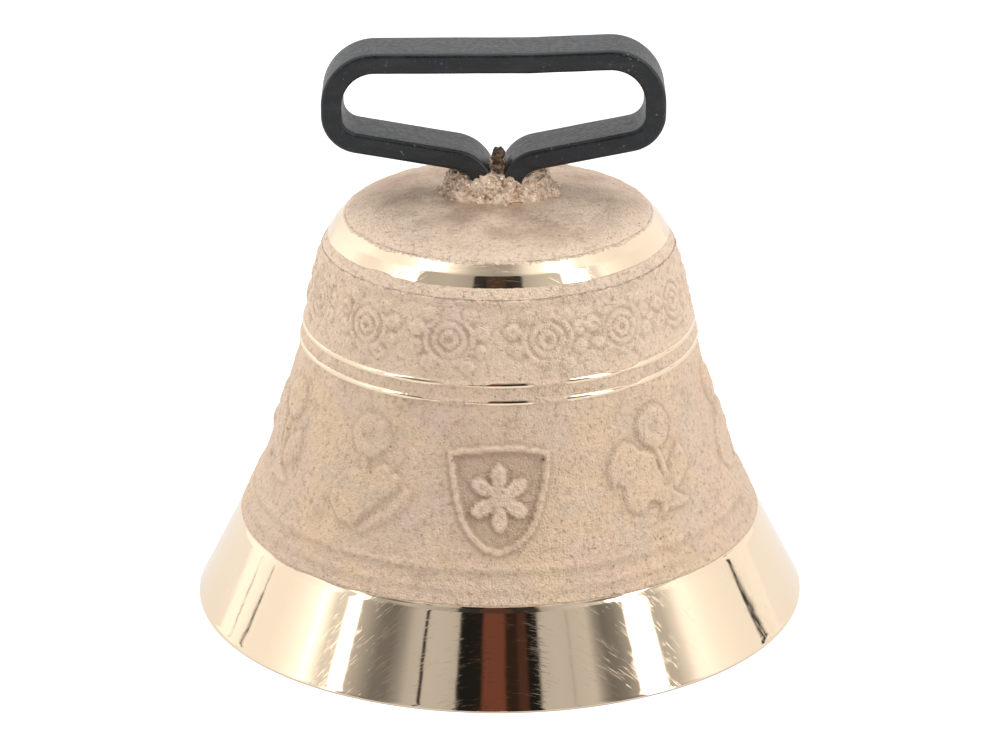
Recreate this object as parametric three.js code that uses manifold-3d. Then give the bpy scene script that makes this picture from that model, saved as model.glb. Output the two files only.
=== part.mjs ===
// A small cast bronze bell with a flat-bar strap handle and a leather-hung clapper.
// Millimetres, +Z up. The origin is the centre of the lip's underside, on the bell's axis.
// The strap lies in the XZ plane, and the clapper swings in the YZ plane.

import * as THREE from 'three';
import { mergeVertices } from 'three/addons/utils/BufferGeometryUtils.js';
import Module from 'manifold-3d';

const wasm = await Module();
wasm.setup();

// ---------------------------------------------------------------- driving dimensions
const GAP = 0.3;                  // room left between pieces that touch
const BELL_SIDES = 64;            // facets round the bell
const ROUND_SIDES = 24;           // facets round a bolt, washer or bush

const LIP_RADIUS = 60;
const LIP_EDGE = 0.4;             // small rounding of the lip's outer edge
const LIP_WIDTH = 4.4;            // flat ring that the bell stands on
const CONE_TOP = { radius: 51.1, height: 17.9 };     // where the turned lip cone ends
const WALL_TOP = { radius: 34.0, height: 73.2 };     // where the turned crown band starts
const WALL_THICKNESS = 4;
const RING_HEIGHTS = [54.1, 57.3];                   // the two thin turned rings
const RING_HALF_WIDTH = 0.7;
const RING_RISE = 0.5;
const CROWN_TOP = 83;
const CROWN_FLAT_RADIUS = 14;     // flat seat of the poured root
const CROWN_THICKNESS = 5;

const STRAP_WIDTH = 12;           // flat bar 12 x 4
const STRAP_THICKNESS = 4;
const STRAP_EDGE = 0.8;           // rounding of the bar's long edges
const TANG_OFFSET = 2.35;         // middle of each tang from the bell's axis
const TOP_BAR_HEIGHT = 110.15;    // middle of the bar's thickness

const BOLT_HEIGHT = 63.5;         // axis of the hanger bolt
const BOLT_RADIUS = 2.5;          // M5
const BOLT_HEX = 8;               // across flats
const BOLT_HEAD = 3.5;
const NUT_DEPTH = 4;
const WASHER_RADIUS = 5;
const WASHER_THICKNESS = 1;
const BUSH_RADIUS = 4;
const EAR_OFFSET = 8;             // middle of each fork ear from the bell's axis
const EAR_END = 58.5;             // lower end of the ears

const EYE_HEIGHT = 46;            // axis of the eye's top bar
const LEATHER_WIDTH = 9;
const LEATHER_THICKNESS = 2.4;
const RIVET_HEIGHT = 54.3;
const RIVET_RADIUS = 1.5;
const RIVET_HEAD_RADIUS = 2.7;

const EYE_BAR = 4;                // the eye is forged from 4 mm square stock, corners broken
const SHANK_RADIUS = 2.4;
const BALL_RADIUS = 10.5;
const BALL_HEIGHT = 17;
const BALL_BORE = 3.3;
const TAIL_RADIUS = 3.6;
const TAIL_END = 4.2;

// ---------------------------------------------------------------- materials
const bronze = new THREE.MeshStandardMaterial({ color: 0xcdb092, roughness: 0.55, metalness: 0.9 });
const crustBronze = new THREE.MeshStandardMaterial({ color: 0xb48a58, roughness: 0.8, metalness: 0.8 });
const blackSteel = new THREE.MeshStandardMaterial({ color: 0x22282e, roughness: 0.5, metalness: 0.7 });
const zincSteel = new THREE.MeshStandardMaterial({ color: 0x9a9c9c, roughness: 0.4, metalness: 1 });
const ironSteel = new THREE.MeshStandardMaterial({ color: 0x55534f, roughness: 0.5, metalness: 0.9 });
const brassBush = new THREE.MeshStandardMaterial({ color: 0xb08d4a, roughness: 0.4, metalness: 1 });
const leather = new THREE.MeshStandardMaterial({ color: 0x6b3f22, roughness: 0.8, metalness: 0 });
const copper = new THREE.MeshStandardMaterial({ color: 0xb5693f, roughness: 0.4, metalness: 1 });

// ---------------------------------------------------------------- solids and meshes
// A closed solid of a three.js geometry, with shared corners merged and flat slivers dropped.
function solidOf(geometry) {
  const bare = geometry.clone();
  bare.deleteAttribute('normal');
  bare.deleteAttribute('uv');
  const merged = mergeVertices(bare, 1e-4);
  const build = (flip) => {
    const corners = [];
    for (let i = 0; i < merged.index.count; i += 3) {
      const [a, b, c] = [0, 1, 2].map((k) => merged.index.getX(i + k));
      if (a !== b && b !== c && c !== a) corners.push(a, ...(flip ? [c, b] : [b, c]));
    }
    return new wasm.Manifold(new wasm.Mesh({
      numProp: 3,
      vertProperties: Float32Array.from(merged.attributes.position.array),
      triVerts: Uint32Array.from(corners),
    }));
  };
  const solid = build(false);
  return solid.volume() > 0 ? solid : build(true);
}

// A three.js mesh of a solid, named as its node.
function meshOf(name, solid, material) {
  const { vertProperties, triVerts } = solid.getMesh();
  const geometry = new THREE.BufferGeometry();
  geometry.setAttribute('position', new THREE.BufferAttribute(vertProperties, 3));
  geometry.setIndex(new THREE.BufferAttribute(triVerts, 1));
  geometry.computeVertexNormals();
  const mesh = new THREE.Mesh(geometry, material);
  mesh.name = name;
  return mesh;
}

// A profile of [radius, height] points turned about the bell's axis.
function turned(profile, sides) {
  const points = profile.map(([radius, height]) => new THREE.Vector2(radius, height));
  return new THREE.LatheGeometry(points, sides).rotateX(Math.PI / 2).rotateZ(Math.PI / 2);
}

// A turned profile laid along the X axis: its heights become places along X.
function turnedAlongX(profile, height, sides = ROUND_SIDES) {
  return solidOf(turned(profile, sides).rotateY(Math.PI / 2).translate(0, 0, height));
}

// A plain ring along X between two places.
function ringAlongX(inner, outer, from, to, height) {
  return turnedAlongX([[inner, from], [outer, from], [outer, to], [inner, to], [inner, from]], height);
}

// A plain bar along X between two places.
function barAlongX(radius, from, to, height) {
  return turnedAlongX([[0, from], [radius, from], [radius, to], [0, to]], height);
}

// A hexagonal prism along X between two places.
function hexAlongX(acrossFlats, from, to, height) {
  const corner = acrossFlats / Math.sqrt(3);
  return turnedAlongX([[0, from], [corner, from], [corner, to], [0, to]], height, 6);
}

// A shape drawn in X and Z, extruded evenly to both sides of the XZ plane, with broken edges.
function plateInXZ(shape, width, edge) {
  const geometry = new THREE.ExtrudeGeometry(shape, {
    depth: width - 2 * edge,
    bevelEnabled: edge > 0,
    bevelThickness: edge,
    bevelSize: edge,
    bevelOffset: -edge,
    bevelSegments: 2,
    curveSegments: 6,
  });
  return solidOf(geometry.translate(0, 0, edge - width / 2).rotateX(Math.PI / 2));
}

// ---------------------------------------------------------------- bell body
// The wall's outer line: radius against height, from the crown band down to the lip cone.
const wallCurve = new THREE.SplineCurve([
  new THREE.Vector2(WALL_TOP.radius, WALL_TOP.height),
  new THREE.Vector2(36.9, 62),
  new THREE.Vector2(39.4, 50),
  new THREE.Vector2(43.1, 38),
  new THREE.Vector2(46.8, 27),
  new THREE.Vector2(CONE_TOP.radius, CONE_TOP.height),
]);
const wallLine = wallCurve.getPoints(200);

function wallRadius(height) {
  const below = wallLine.findIndex((point) => point.y <= height);
  if (below <= 0) return wallLine[Math.max(below, 0)].x;
  const [upper, lower] = [wallLine[below - 1], wallLine[below]];
  return THREE.MathUtils.mapLinear(height, upper.y, lower.y, upper.x, lower.x);
}

function bellProfile() {
  const ringEdges = RING_HEIGHTS.flatMap((height) => [
    [height - RING_HALF_WIDTH, 0],
    [height - RING_HALF_WIDTH / 2, RING_RISE],
    [height + RING_HALF_WIDTH / 2, RING_RISE],
    [height + RING_HALF_WIDTH, 0],
  ]);
  const clearOfRings = (point) => RING_HEIGHTS.every((height) => Math.abs(point.y - height) > 1.2);
  const plainWall = wallCurve.getPoints(15).filter(clearOfRings).map((point) => [point.y, 0]);
  const outside = [...plainWall, ...ringEdges]
    .sort((upper, lower) => lower[0] - upper[0])
    .map(([height, rise]) => [wallRadius(height) + rise, height]);
  const insideHeights = [17.9, 22, 27, 33, 40, 48, 57, 66, 70];
  const inside = insideHeights.map((height) => [wallRadius(height) - WALL_THICKNESS, height]);
  const ceiling = CROWN_TOP - CROWN_THICKNESS;
  return [
    [0, CROWN_TOP],
    [CROWN_FLAT_RADIUS, CROWN_TOP],
    [20, 82.3],
    [25.5, 80.9],
    [28.6, 79.7],
    [30, 78.6],                     // crown band, upper facet
    [31.7, 76.9],                   // crown band, lower facet
    [33.1, 74.8],
    ...outside,
    [LIP_RADIUS, LIP_EDGE],
    [LIP_RADIUS - LIP_EDGE, 0],
    [LIP_RADIUS - LIP_EDGE - LIP_WIDTH, 0],
    ...inside,
    [28.6, 73.8],
    [25.5, 76.2],
    [20, ceiling - 0.5],
    [12, ceiling],
    [0, ceiling],
  ];
}

// The slot in the crown that the strap's two tangs pass through.
function crownSlot() {
  const across = 2 * (TANG_OFFSET + STRAP_THICKNESS / 2 + GAP);
  const box = new THREE.BoxGeometry(across, STRAP_WIDTH + 2 * GAP, 24);
  return solidOf(box.translate(0, 0, CROWN_TOP - CROWN_THICKNESS / 2));
}

const bellBody = solidOf(turned(bellProfile(), BELL_SIDES)).subtract(crownSlot());

// ---------------------------------------------------------------- strap handle
// The line along the middle of the bar, as corners with the radius that each is bent to.
// It runs from the left ear of the fork up through the crown, round the loop and down again.
const STRAP_ROUTE = [
  { x: -EAR_OFFSET, z: EAR_END, bend: 0 },
  { x: -EAR_OFFSET, z: 70.3, bend: 4 },
  { x: -TANG_OFFSET, z: 76.5, bend: 4 },
  { x: -TANG_OFFSET, z: 90, bend: 7 },
  { x: -31.75, z: 95.2, bend: 5.5 },
  { x: -31.75, z: TOP_BAR_HEIGHT, bend: 8.4 },
  { x: 6, z: TOP_BAR_HEIGHT, bend: 30 },
  { x: 30.1, z: TOP_BAR_HEIGHT + 0.9, bend: 8.6 },
  { x: 30.1, z: 95.4, bend: 5.5 },
  { x: TANG_OFFSET, z: 89.9, bend: 6 },
  { x: TANG_OFFSET, z: 76.5, bend: 4 },
  { x: EAR_OFFSET, z: 70.3, bend: 4 },
  { x: EAR_OFFSET, z: EAR_END, bend: 0 },
];

// Points along a route with each corner rounded, and the direction of travel at each.
function roundedRoute(route) {
  const stations = [];
  route.forEach((corner, i) => {
    const here = new THREE.Vector2(corner.x, corner.z);
    const before = route[i - 1] && new THREE.Vector2(route[i - 1].x, route[i - 1].z);
    const after = route[i + 1] && new THREE.Vector2(route[i + 1].x, route[i + 1].z);
    const arriving = before ? here.clone().sub(before).normalize() : after.clone().sub(here).normalize();
    const leaving = after ? after.clone().sub(here).normalize() : arriving;
    const turn = Math.atan2(arriving.cross(leaving), arriving.dot(leaving));
    if (Math.abs(turn) < 1e-6) {
      stations.push({ point: here, along: arriving });
      return;
    }
    const side = Math.sign(turn);
    const start = here.clone().addScaledVector(arriving, -corner.bend * Math.tan(Math.abs(turn) / 2));
    const toCentre = new THREE.Vector2(-arriving.y, arriving.x).multiplyScalar(side);
    const centre = start.clone().addScaledVector(toCentre, corner.bend);
    const steps = Math.max(2, Math.ceil(Math.abs(turn) / THREE.MathUtils.degToRad(11)));
    for (let k = 0; k <= steps; k += 1) {
      const angle = (turn * k) / steps;
      stations.push({
        point: start.clone().rotateAround(centre, angle),
        along: arriving.clone().rotateAround(new THREE.Vector2(), angle),
      });
    }
  });
  return stations;
}

// The bar as a closed outline in X and Z: one side going, the other coming back.
function strapOutline(thickness) {
  const stations = roundedRoute(STRAP_ROUTE);
  const sideLine = (side) => stations.map(({ point, along }) => {
    const across = new THREE.Vector2(-along.y, along.x);
    return point.clone().addScaledVector(across, (side * thickness) / 2);
  });
  return new THREE.Shape([...sideLine(1), ...sideLine(-1).reverse()]);
}

const boltHole = barAlongX(BOLT_RADIUS + GAP, -20, 20, BOLT_HEIGHT);
const strapHandle = plateInXZ(strapOutline(STRAP_THICKNESS), STRAP_WIDTH, STRAP_EDGE).subtract(boltHole);

// ---------------------------------------------------------------- poured root
// A rough mound of bronze round the foot of the strap, uneven all the way round.
function rootCrust() {
  const foot = CROWN_TOP + GAP;
  const mound = turned([[0, foot], [11.4, foot], [12.1, 84.1], [10.9, 86.2], [9.2, 88], [0, 88.8]], 28);
  const place = mound.attributes.position;
  for (let i = 0; i < place.count; i += 1) {
    const round = Math.atan2(place.getY(i), place.getX(i));
    const swell = 1 + 0.06 * Math.sin(3 * round + 1) + 0.04 * Math.sin(7 * round);
    place.setX(i, place.getX(i) * swell);
    place.setY(i, place.getY(i) * swell * 0.72);
  }
  const strapRoom = plateInXZ(strapOutline(STRAP_THICKNESS + 2 * GAP), STRAP_WIDTH + 2 * GAP, 0);
  return solidOf(mound).subtract(crownSlot()).subtract(strapRoom);
}

// ---------------------------------------------------------------- clapper hanger
const earFace = EAR_OFFSET + STRAP_THICKNESS / 2;
const washerFrom = earFace + GAP;
const washerTo = washerFrom + WASHER_THICKNESS;
const headFrom = washerTo + GAP;

function hangerBolt() {
  const head = hexAlongX(BOLT_HEX, -headFrom - BOLT_HEAD, -headFrom, BOLT_HEIGHT);
  const end = headFrom + NUT_DEPTH + 2;
  return head.add(barAlongX(BOLT_RADIUS, -headFrom - 0.5, end, BOLT_HEIGHT));
}

function hangerNut() {
  const hole = barAlongX(BOLT_RADIUS + GAP, -20, 20, BOLT_HEIGHT);
  return hexAlongX(BOLT_HEX, headFrom, headFrom + NUT_DEPTH, BOLT_HEIGHT).subtract(hole);
}

const washerBore = BOLT_RADIUS + GAP;
const headWasher = ringAlongX(washerBore, WASHER_RADIUS, -washerTo, -washerFrom, BOLT_HEIGHT);
const nutWasher = ringAlongX(washerBore, WASHER_RADIUS, washerFrom, washerTo, BOLT_HEIGHT);
const bushEnd = EAR_OFFSET - STRAP_THICKNESS / 2 - GAP;
const hangerBush = ringAlongX(washerBore, BUSH_RADIUS, -bushEnd, bushEnd, BOLT_HEIGHT);

// ---------------------------------------------------------------- leather baldrick
// A leather strap folded round the bush above and the clapper's eye below, seen along X.
const bushFold = BUSH_RADIUS + GAP;
const eyeFold = 2.7;                                  // the eye's corners turn freely inside it
const waist = LEATHER_THICKNESS + 0.2;                // half the thickness of the two riveted layers
const waistHalf = RIVET_HEAD_RADIUS + GAP;            // half the length of the flat riveted part

function leatherBaldrick() {
  const outline = new THREE.Shape();
  outline.absarc(0, BOLT_HEIGHT, bushFold + LEATHER_THICKNESS, -1, Math.PI + 1);
  outline.lineTo(-waist, RIVET_HEIGHT + waistHalf);
  outline.lineTo(-waist, RIVET_HEIGHT - waistHalf);
  outline.absarc(0, EYE_HEIGHT, eyeFold + LEATHER_THICKNESS, Math.PI - 0.8, 2 * Math.PI + 0.8);
  outline.lineTo(waist, RIVET_HEIGHT - waistHalf);
  outline.lineTo(waist, RIVET_HEIGHT + waistHalf);
  outline.closePath();
  const folds = [[BOLT_HEIGHT, bushFold], [EYE_HEIGHT, eyeFold]];
  outline.holes = folds.map(([height, radius]) => new THREE.Path().absarc(0, height, radius, 0, 2 * Math.PI));
  const extrude = { depth: LEATHER_WIDTH, bevelEnabled: false, curveSegments: 16 };
  const loop = new THREE.ExtrudeGeometry(outline, extrude);
  loop.translate(0, 0, -LEATHER_WIDTH / 2).rotateX(Math.PI / 2).rotateZ(Math.PI / 2);
  return solidOf(loop).subtract(solidAlongY([[0, -10], [RIVET_RADIUS + GAP, -10],
    [RIVET_RADIUS + GAP, 10], [0, 10]]));
}

// A turned profile laid along Y at the rivet's height: its heights become places along Y.
function solidAlongY(profile) {
  return solidOf(turned(profile, ROUND_SIDES).rotateX(-Math.PI / 2).translate(0, 0, RIVET_HEIGHT));
}

// The rivet: a domed head in front, and an end peened over the burr at the back.
function baldrickRivet() {
  const face = waist + GAP;
  const burrBack = face + 0.8 + GAP;
  return solidAlongY([
    [0, -face - 1.1], [1.6, -face - 0.9], [2.5, -face - 0.4], [RIVET_HEAD_RADIUS, -face],
    [RIVET_RADIUS, -face], [RIVET_RADIUS, burrBack], [2.2, burrBack], [1.8, burrBack + 0.6], [0, burrBack + 0.8],
  ]);
}

function rivetBurr() {
  const [from, to] = [waist + GAP, waist + GAP + 0.8];
  const bore = RIVET_RADIUS + GAP;
  return solidAlongY([
    [bore, from], [RIVET_HEAD_RADIUS, from], [RIVET_HEAD_RADIUS, to], [bore, to], [bore, from],
  ]);
}

// ---------------------------------------------------------------- clapper
// The shank: a stirrup-shaped eye with a straight top bar, and a round stem that narrows to it.
function clapperShank() {
  const top = EYE_HEIGHT + EYE_BAR / 2;
  const holeHalf = LEATHER_WIDTH / 2 + 0.8;
  const sideHalf = holeHalf + EYE_BAR;
  const holeFoot = EYE_HEIGHT - 6;
  const eye = new THREE.Shape();
  eye.moveTo(sideHalf - 2, top);
  eye.lineTo(-sideHalf + 2, top);
  eye.quadraticCurveTo(-sideHalf, top, -sideHalf, top - 2.4);
  eye.lineTo(-sideHalf, EYE_HEIGHT - 3);
  eye.bezierCurveTo(-sideHalf, holeFoot - 3, -SHANK_RADIUS, holeFoot - 3, -SHANK_RADIUS, holeFoot - 8);
  eye.lineTo(SHANK_RADIUS, holeFoot - 8);
  eye.bezierCurveTo(SHANK_RADIUS, holeFoot - 3, sideHalf, holeFoot - 3, sideHalf, EYE_HEIGHT - 3);
  eye.lineTo(sideHalf, top - 2.4);
  eye.quadraticCurveTo(sideHalf, top, sideHalf - 2, top);
  const hole = new THREE.Path();
  hole.moveTo(-holeHalf, EYE_HEIGHT - EYE_BAR / 2);
  hole.lineTo(holeHalf, EYE_HEIGHT - EYE_BAR / 2);
  hole.lineTo(holeHalf, EYE_HEIGHT - 4);
  hole.quadraticCurveTo(holeHalf, holeFoot, holeHalf - 2, holeFoot);
  hole.lineTo(-holeHalf + 2, holeFoot);
  hole.quadraticCurveTo(-holeHalf, holeFoot, -holeHalf, EYE_HEIGHT - 4);
  hole.closePath();
  eye.holes = [hole];
  const ballFoot = BALL_HEIGHT - BALL_RADIUS;
  const stem = solidOf(turned([
    [0, holeFoot - 4], [SHANK_RADIUS, holeFoot - 5], [SHANK_RADIUS, 32], [BALL_BORE - GAP, 28],
    [BALL_BORE - GAP, ballFoot], [TAIL_RADIUS, ballFoot - GAP / 2], [TAIL_RADIUS - 0.6, TAIL_END], [0, TAIL_END],
  ], ROUND_SIDES));
  return plateInXZ(eye, EYE_BAR, 1.1).add(stem);
}

// The ball, bored through for the shank and faced flat where the shank is peened over.
function clapperBall() {
  const facing = BALL_RADIUS - 0.6;
  const steps = 12;
  const lowest = Math.acos(facing / BALL_RADIUS);
  const arc = Array.from({ length: steps + 1 }, (_, k) => {
    const angle = lowest + ((Math.PI - 2 * lowest) * k) / steps;
    return [BALL_RADIUS * Math.sin(angle), BALL_HEIGHT - BALL_RADIUS * Math.cos(angle)];
  });
  const [foot, head] = [BALL_HEIGHT - facing, BALL_HEIGHT + facing];
  return solidOf(turned([[BALL_BORE, foot], ...arc, [BALL_BORE, head], [BALL_BORE, foot]], ROUND_SIDES));
}

// ---------------------------------------------------------------- assembly
const bell = new THREE.Group();
bell.add(
  meshOf('bell_body', bellBody, bronze),
  meshOf('strap_handle', strapHandle, blackSteel),
  meshOf('root_crust', rootCrust(), crustBronze),
  meshOf('hanger_bolt', hangerBolt(), zincSteel),
  meshOf('bolt_head_washer', headWasher, zincSteel),
  meshOf('nut_washer', nutWasher, zincSteel),
  meshOf('hanger_nut', hangerNut(), zincSteel),
  meshOf('hanger_bush', hangerBush, brassBush),
);

const baldrick = new THREE.Group();
baldrick.add(
  meshOf('leather_baldrick', leatherBaldrick(), leather),
  meshOf('baldrick_rivet', baldrickRivet(), copper),
  meshOf('rivet_burr', rivetBurr(), copper),
);

const clapper = new THREE.Group();
clapper.add(
  meshOf('clapper_shank', clapperShank(), ironSteel),
  meshOf('clapper_ball', clapperBall(), ironSteel),
);

const whole = new THREE.Group();
whole.add(bell, baldrick, clapper);
export default whole;
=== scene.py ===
import math

import bmesh
import bpy
import numpy as np
from mathutils import Matrix, Vector, noise


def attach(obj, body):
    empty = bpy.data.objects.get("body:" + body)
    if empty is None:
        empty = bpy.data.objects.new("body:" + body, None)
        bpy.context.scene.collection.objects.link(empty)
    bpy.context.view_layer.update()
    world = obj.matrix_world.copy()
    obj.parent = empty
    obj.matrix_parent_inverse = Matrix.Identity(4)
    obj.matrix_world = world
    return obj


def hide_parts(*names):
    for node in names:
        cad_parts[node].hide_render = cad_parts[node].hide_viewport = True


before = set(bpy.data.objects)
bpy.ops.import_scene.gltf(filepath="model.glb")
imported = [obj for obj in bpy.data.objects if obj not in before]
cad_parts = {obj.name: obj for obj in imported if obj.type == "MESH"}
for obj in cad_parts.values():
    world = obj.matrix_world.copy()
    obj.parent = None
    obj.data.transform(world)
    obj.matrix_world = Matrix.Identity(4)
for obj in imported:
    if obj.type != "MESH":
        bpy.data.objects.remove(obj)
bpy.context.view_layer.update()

# ---------------------------------------------------------------- the set
# A white table and a white cloth tent round it, with a slit at the front for the camera.
# Two soft lamps shine through the tent's sides and one through its roof. Polished metal
# shows the tent's folds, seams and slit, so the tent is drawn by direction in the world.
scene = bpy.context.scene
scene.view_settings.view_transform = "Standard"
MM = 0.001


def node(tree, kind, inputs=None, **settings):
    """Adds one node with its settings, and sets each input to a value or feeds it from an output."""
    made = tree.nodes.new(kind)
    for setting, value in settings.items():
        setattr(made, setting, value)
    for key, value in (inputs or {}).items():
        if isinstance(value, bpy.types.NodeSocket):
            tree.links.new(value, made.inputs[key])
        else:
            made.inputs[key].default_value = value
    return made


def maths(tree, operation, *values, clamp=False):
    """One step of arithmetic on values or outputs."""
    inputs = dict(enumerate(values))
    return node(tree, "ShaderNodeMath", inputs, operation=operation, use_clamp=clamp).outputs[0]


def times(tree, first, second, clamp=False):
    """The product of two values."""
    return maths(tree, "MULTIPLY", first, second, clamp=clamp)


def plus(tree, first, second):
    """The sum of two values."""
    return maths(tree, "ADD", first, second)


def less(tree, first, second):
    """The first value less the second."""
    return maths(tree, "SUBTRACT", first, second)


def ramp(tree, factor, stops):
    """A colour ramp through (place, colour) stops, where a plain number is a grey."""
    made = node(tree, "ShaderNodeValToRGB", {"Fac": factor})
    elements = made.color_ramp.elements
    elements.remove(elements[1])
    for i, (place, colour) in enumerate(stops):
        element = elements.new(place) if i else elements[0]
        element.position = place
        element.color = (*((colour,) * 3 if isinstance(colour, (int, float)) else colour), 1)
    return made.outputs["Color"]


def between(tree, value, low, high):
    """0 where the value is at low or less and 1 at high or more, smooth between."""
    made = node(tree, "ShaderNodeMapRange", {"Value": value, "From Min": low, "From Max": high},
                interpolation_type="SMOOTHSTEP")
    return made.outputs["Result"]


def mix(tree, share, first, second, blend="MIX"):
    """A colour mixed from two, each a colour or an output."""
    made = node(tree, "ShaderNodeMix", data_type="RGBA", blend_type=blend)
    for key, value in ((0, share), (6, first), (7, second)):
        if isinstance(value, bpy.types.NodeSocket):
            tree.links.new(value, made.inputs[key])
        else:
            made.inputs[key].default_value = value if key == 0 else (*value, 1)[:4]
    return made.outputs[2]


TENT_BRIGHTEST = 6.0              # the ramps hold shares of this
RED_CLOTH = (0.165, 0.062, 0.043)    # what stands behind the camera, seen through the slit
DARK_CLOTH = (0.03, 0.02, 0.015)
CURTAIN = (0.075, 0.035, 0.026)
SLIT_BROWN = (0.075, 0.05, 0.04)
LAMP_LEFT, LAMP_RIGHT = 3.4, 5.0
# Brightness of the tent by degrees from the slit: low wall, high wall and roof, left and right.
TENT_LEFT_LOW = [
    (0, RED_CLOTH), (6.6, RED_CLOTH), (7.6, 0.015), (16.8, 0.012), (17.4, 0.50), (22, 0.55), (29, 0.57),
    (34, 0.55), (37, 0.50), (40.5, 0.31), (45, 0.18), (50, 0.19), (53, 0.27), (57, 0.42), (61.2, 0.55),
    (62.2, LAMP_LEFT), (67, LAMP_LEFT), (68, 0.8), (72.5, 0.80), (75.5, 1.25), (79, 1.9), (83, 1.35),
    (91, 1.12), (97, 1.03), (107, 1.03), (118, 1.3), (132, 1.25), (146, 1.12), (158, 0.95), (168, 1.0),
    (180, 1.15),
]
TENT_RIGHT_LOW = [
    (0, RED_CLOTH), (1.6, RED_CLOTH), (2.8, DARK_CLOTH), (6.8, DARK_CLOTH), (7.8, CURTAIN), (10.6, CURTAIN),
    (11.6, 0.012), (15.8, 0.012), (16.5, 0.52), (23, 0.56), (28.4, 0.54), (29, 0.40), (29.7, 0.55),
    (37, 0.60), (40.5, 0.30), (44, 0.17), (49, 0.23), (54.3, 0.42), (55.4, LAMP_RIGHT), (65, LAMP_RIGHT),
    (66.2, 0.50), (71, 0.56), (75.5, 0.84), (79.5, 1.25), (84, 1.32), (91, 1.13), (100, 1.03), (109, 1.0),
    (121, 1.06), (150, 1.10), (165, 0.95), (180, 1.15),
]
TENT_LEFT_HIGH = [
    (0, SLIT_BROWN), (9, SLIT_BROWN), (10, 0.03), (19.0, 0.05), (21.0, 0.40), (32, 0.48), (40, 0.53),
    (56, 0.50), (63.4, 0.55), (64.6, LAMP_LEFT), (73, LAMP_LEFT), (76, 1.5), (88, 1.3), (96, 1.12),
    (112, 1.16), (120, 1.28), (150, 1.1), (180, 1.0),
]
TENT_RIGHT_HIGH = [
    (0, SLIT_BROWN), (5, SLIT_BROWN), (7, 0.03), (18.0, 0.05), (20.0, 0.45), (32, 0.60), (40, 0.66),
    (50, 0.68), (51, LAMP_RIGHT),
    (69, LAMP_RIGHT), (70.5, 0.94), (80, 1.0), (87, 1.28), (96, 1.08), (111, 1.0), (120, 1.08),
    (150, 1.1), (180, 1.0),
]
TENT_LEFT_TOP = [
    (0, 0.37), (16, 0.43), (28, 0.50), (40, 0.68), (48, 0.9), (56, 1.2), (62, 2.0), (82, 2.2), (90, 1.25),
    (120, 1.3), (180, 1.2),
]
TENT_RIGHT_TOP = [
    (0, 0.37), (16, 0.43), (24, 0.57), (32, 0.87), (40, 1.04), (50, 1.3), (58, 2.2), (76, 2.2), (82, 1.3),
    (90, 1.05), (120, 1.1), (180, 1.2),
]
ROOF_LIGHT = 3.4

tent = bpy.data.worlds.new("light_tent")
scene.world = tent
tent.use_nodes = True
sky = tent.node_tree
sky.nodes.clear()
way = node(sky, "ShaderNodeSeparateXYZ", {0: node(sky, "ShaderNodeTexCoord").outputs["Generated"]}).outputs
DEGREES = 180 / math.pi
azimuth = times(sky, maths(sky, "ARCTAN2", way["X"], times(sky, way["Y"], -1.0)), DEGREES)
elevation = times(sky, maths(sky, "ARCSINE", way["Z"]), DEGREES)
from_slit = maths(sky, "DIVIDE", maths(sky, "ABSOLUTE", azimuth), 180.0)
on_right = maths(sky, "GREATER_THAN", azimuth, 0.0)


def tent_wall(left, right):
    """The tent's brightness at one height, from its two sides' stops."""
    def side(stops):
        shares = [(d / 180, c / TENT_BRIGHTEST if isinstance(c, (int, float)) else
                   tuple(v / TENT_BRIGHTEST for v in c)) for d, c in stops]
        return ramp(sky, from_slit, shares)
    return mix(sky, on_right, side(left), side(right))


low_wall = tent_wall(TENT_LEFT_LOW, TENT_RIGHT_LOW)
high_wall = tent_wall(TENT_LEFT_HIGH, TENT_RIGHT_HIGH)
roof = tent_wall(TENT_LEFT_TOP, TENT_RIGHT_TOP)


def seam(at, lean, half_width, lowest, highest, foot):
    """A dark seam in the tent: its azimuth above foot, and how far it leans out per degree below foot."""
    line = plus(sky, times(sky, maths(
        sky, "MAXIMUM", less(sky, foot, elevation), 0.0), lean), at)
    off = maths(sky, "ABSOLUTE", less(sky, azimuth, line))
    near = less(sky, 1.0, between(sky, off, half_width * 0.6, half_width * 1.2))
    upright = times(sky, maths(sky, "GREATER_THAN", elevation, lowest),
                    maths(sky, "LESS_THAN", elevation, highest))
    return times(sky, near, upright)


tent_light = mix(sky, between(sky, elevation, 33, 36.5), low_wall, high_wall)
tent_light = mix(sky, between(sky, elevation, 51, 57), tent_light, roof)
seams = [
    seam(112.7, 1.25, 1.05, 1.5, 11.5, 5.8),
    seam(-109.7, -0.85, 0.5, 1.5, 7.3, 6.9),
    seam(-118.4, 7.0, 0.8, 3.1, 3.62, 3.3),
    seam(-31.4, 0.0, 0.75, 5, 33.5, 0.0),
]
for dark_seam in seams:
    tent_light = mix(sky, dark_seam, tent_light, (0.004, 0.004, 0.004))
tent_light = mix(sky, between(sky, elevation, 74, 80), tent_light, (ROOF_LIGHT / TENT_BRIGHTEST,) * 3)
lit = node(sky, "ShaderNodeBackground", {"Color": tent_light, "Strength": TENT_BRIGHTEST})
plain = node(sky, "ShaderNodeBackground", {"Color": (1, 1, 1, 1), "Strength": 1.0})
seen = node(sky, "ShaderNodeMixShader", {
    0: node(sky, "ShaderNodeLightPath").outputs["Is Camera Ray"], 1: lit.outputs[0], 2: plain.outputs[0]})
node(sky, "ShaderNodeOutputWorld", {"Surface": seen.outputs[0]})

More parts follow.
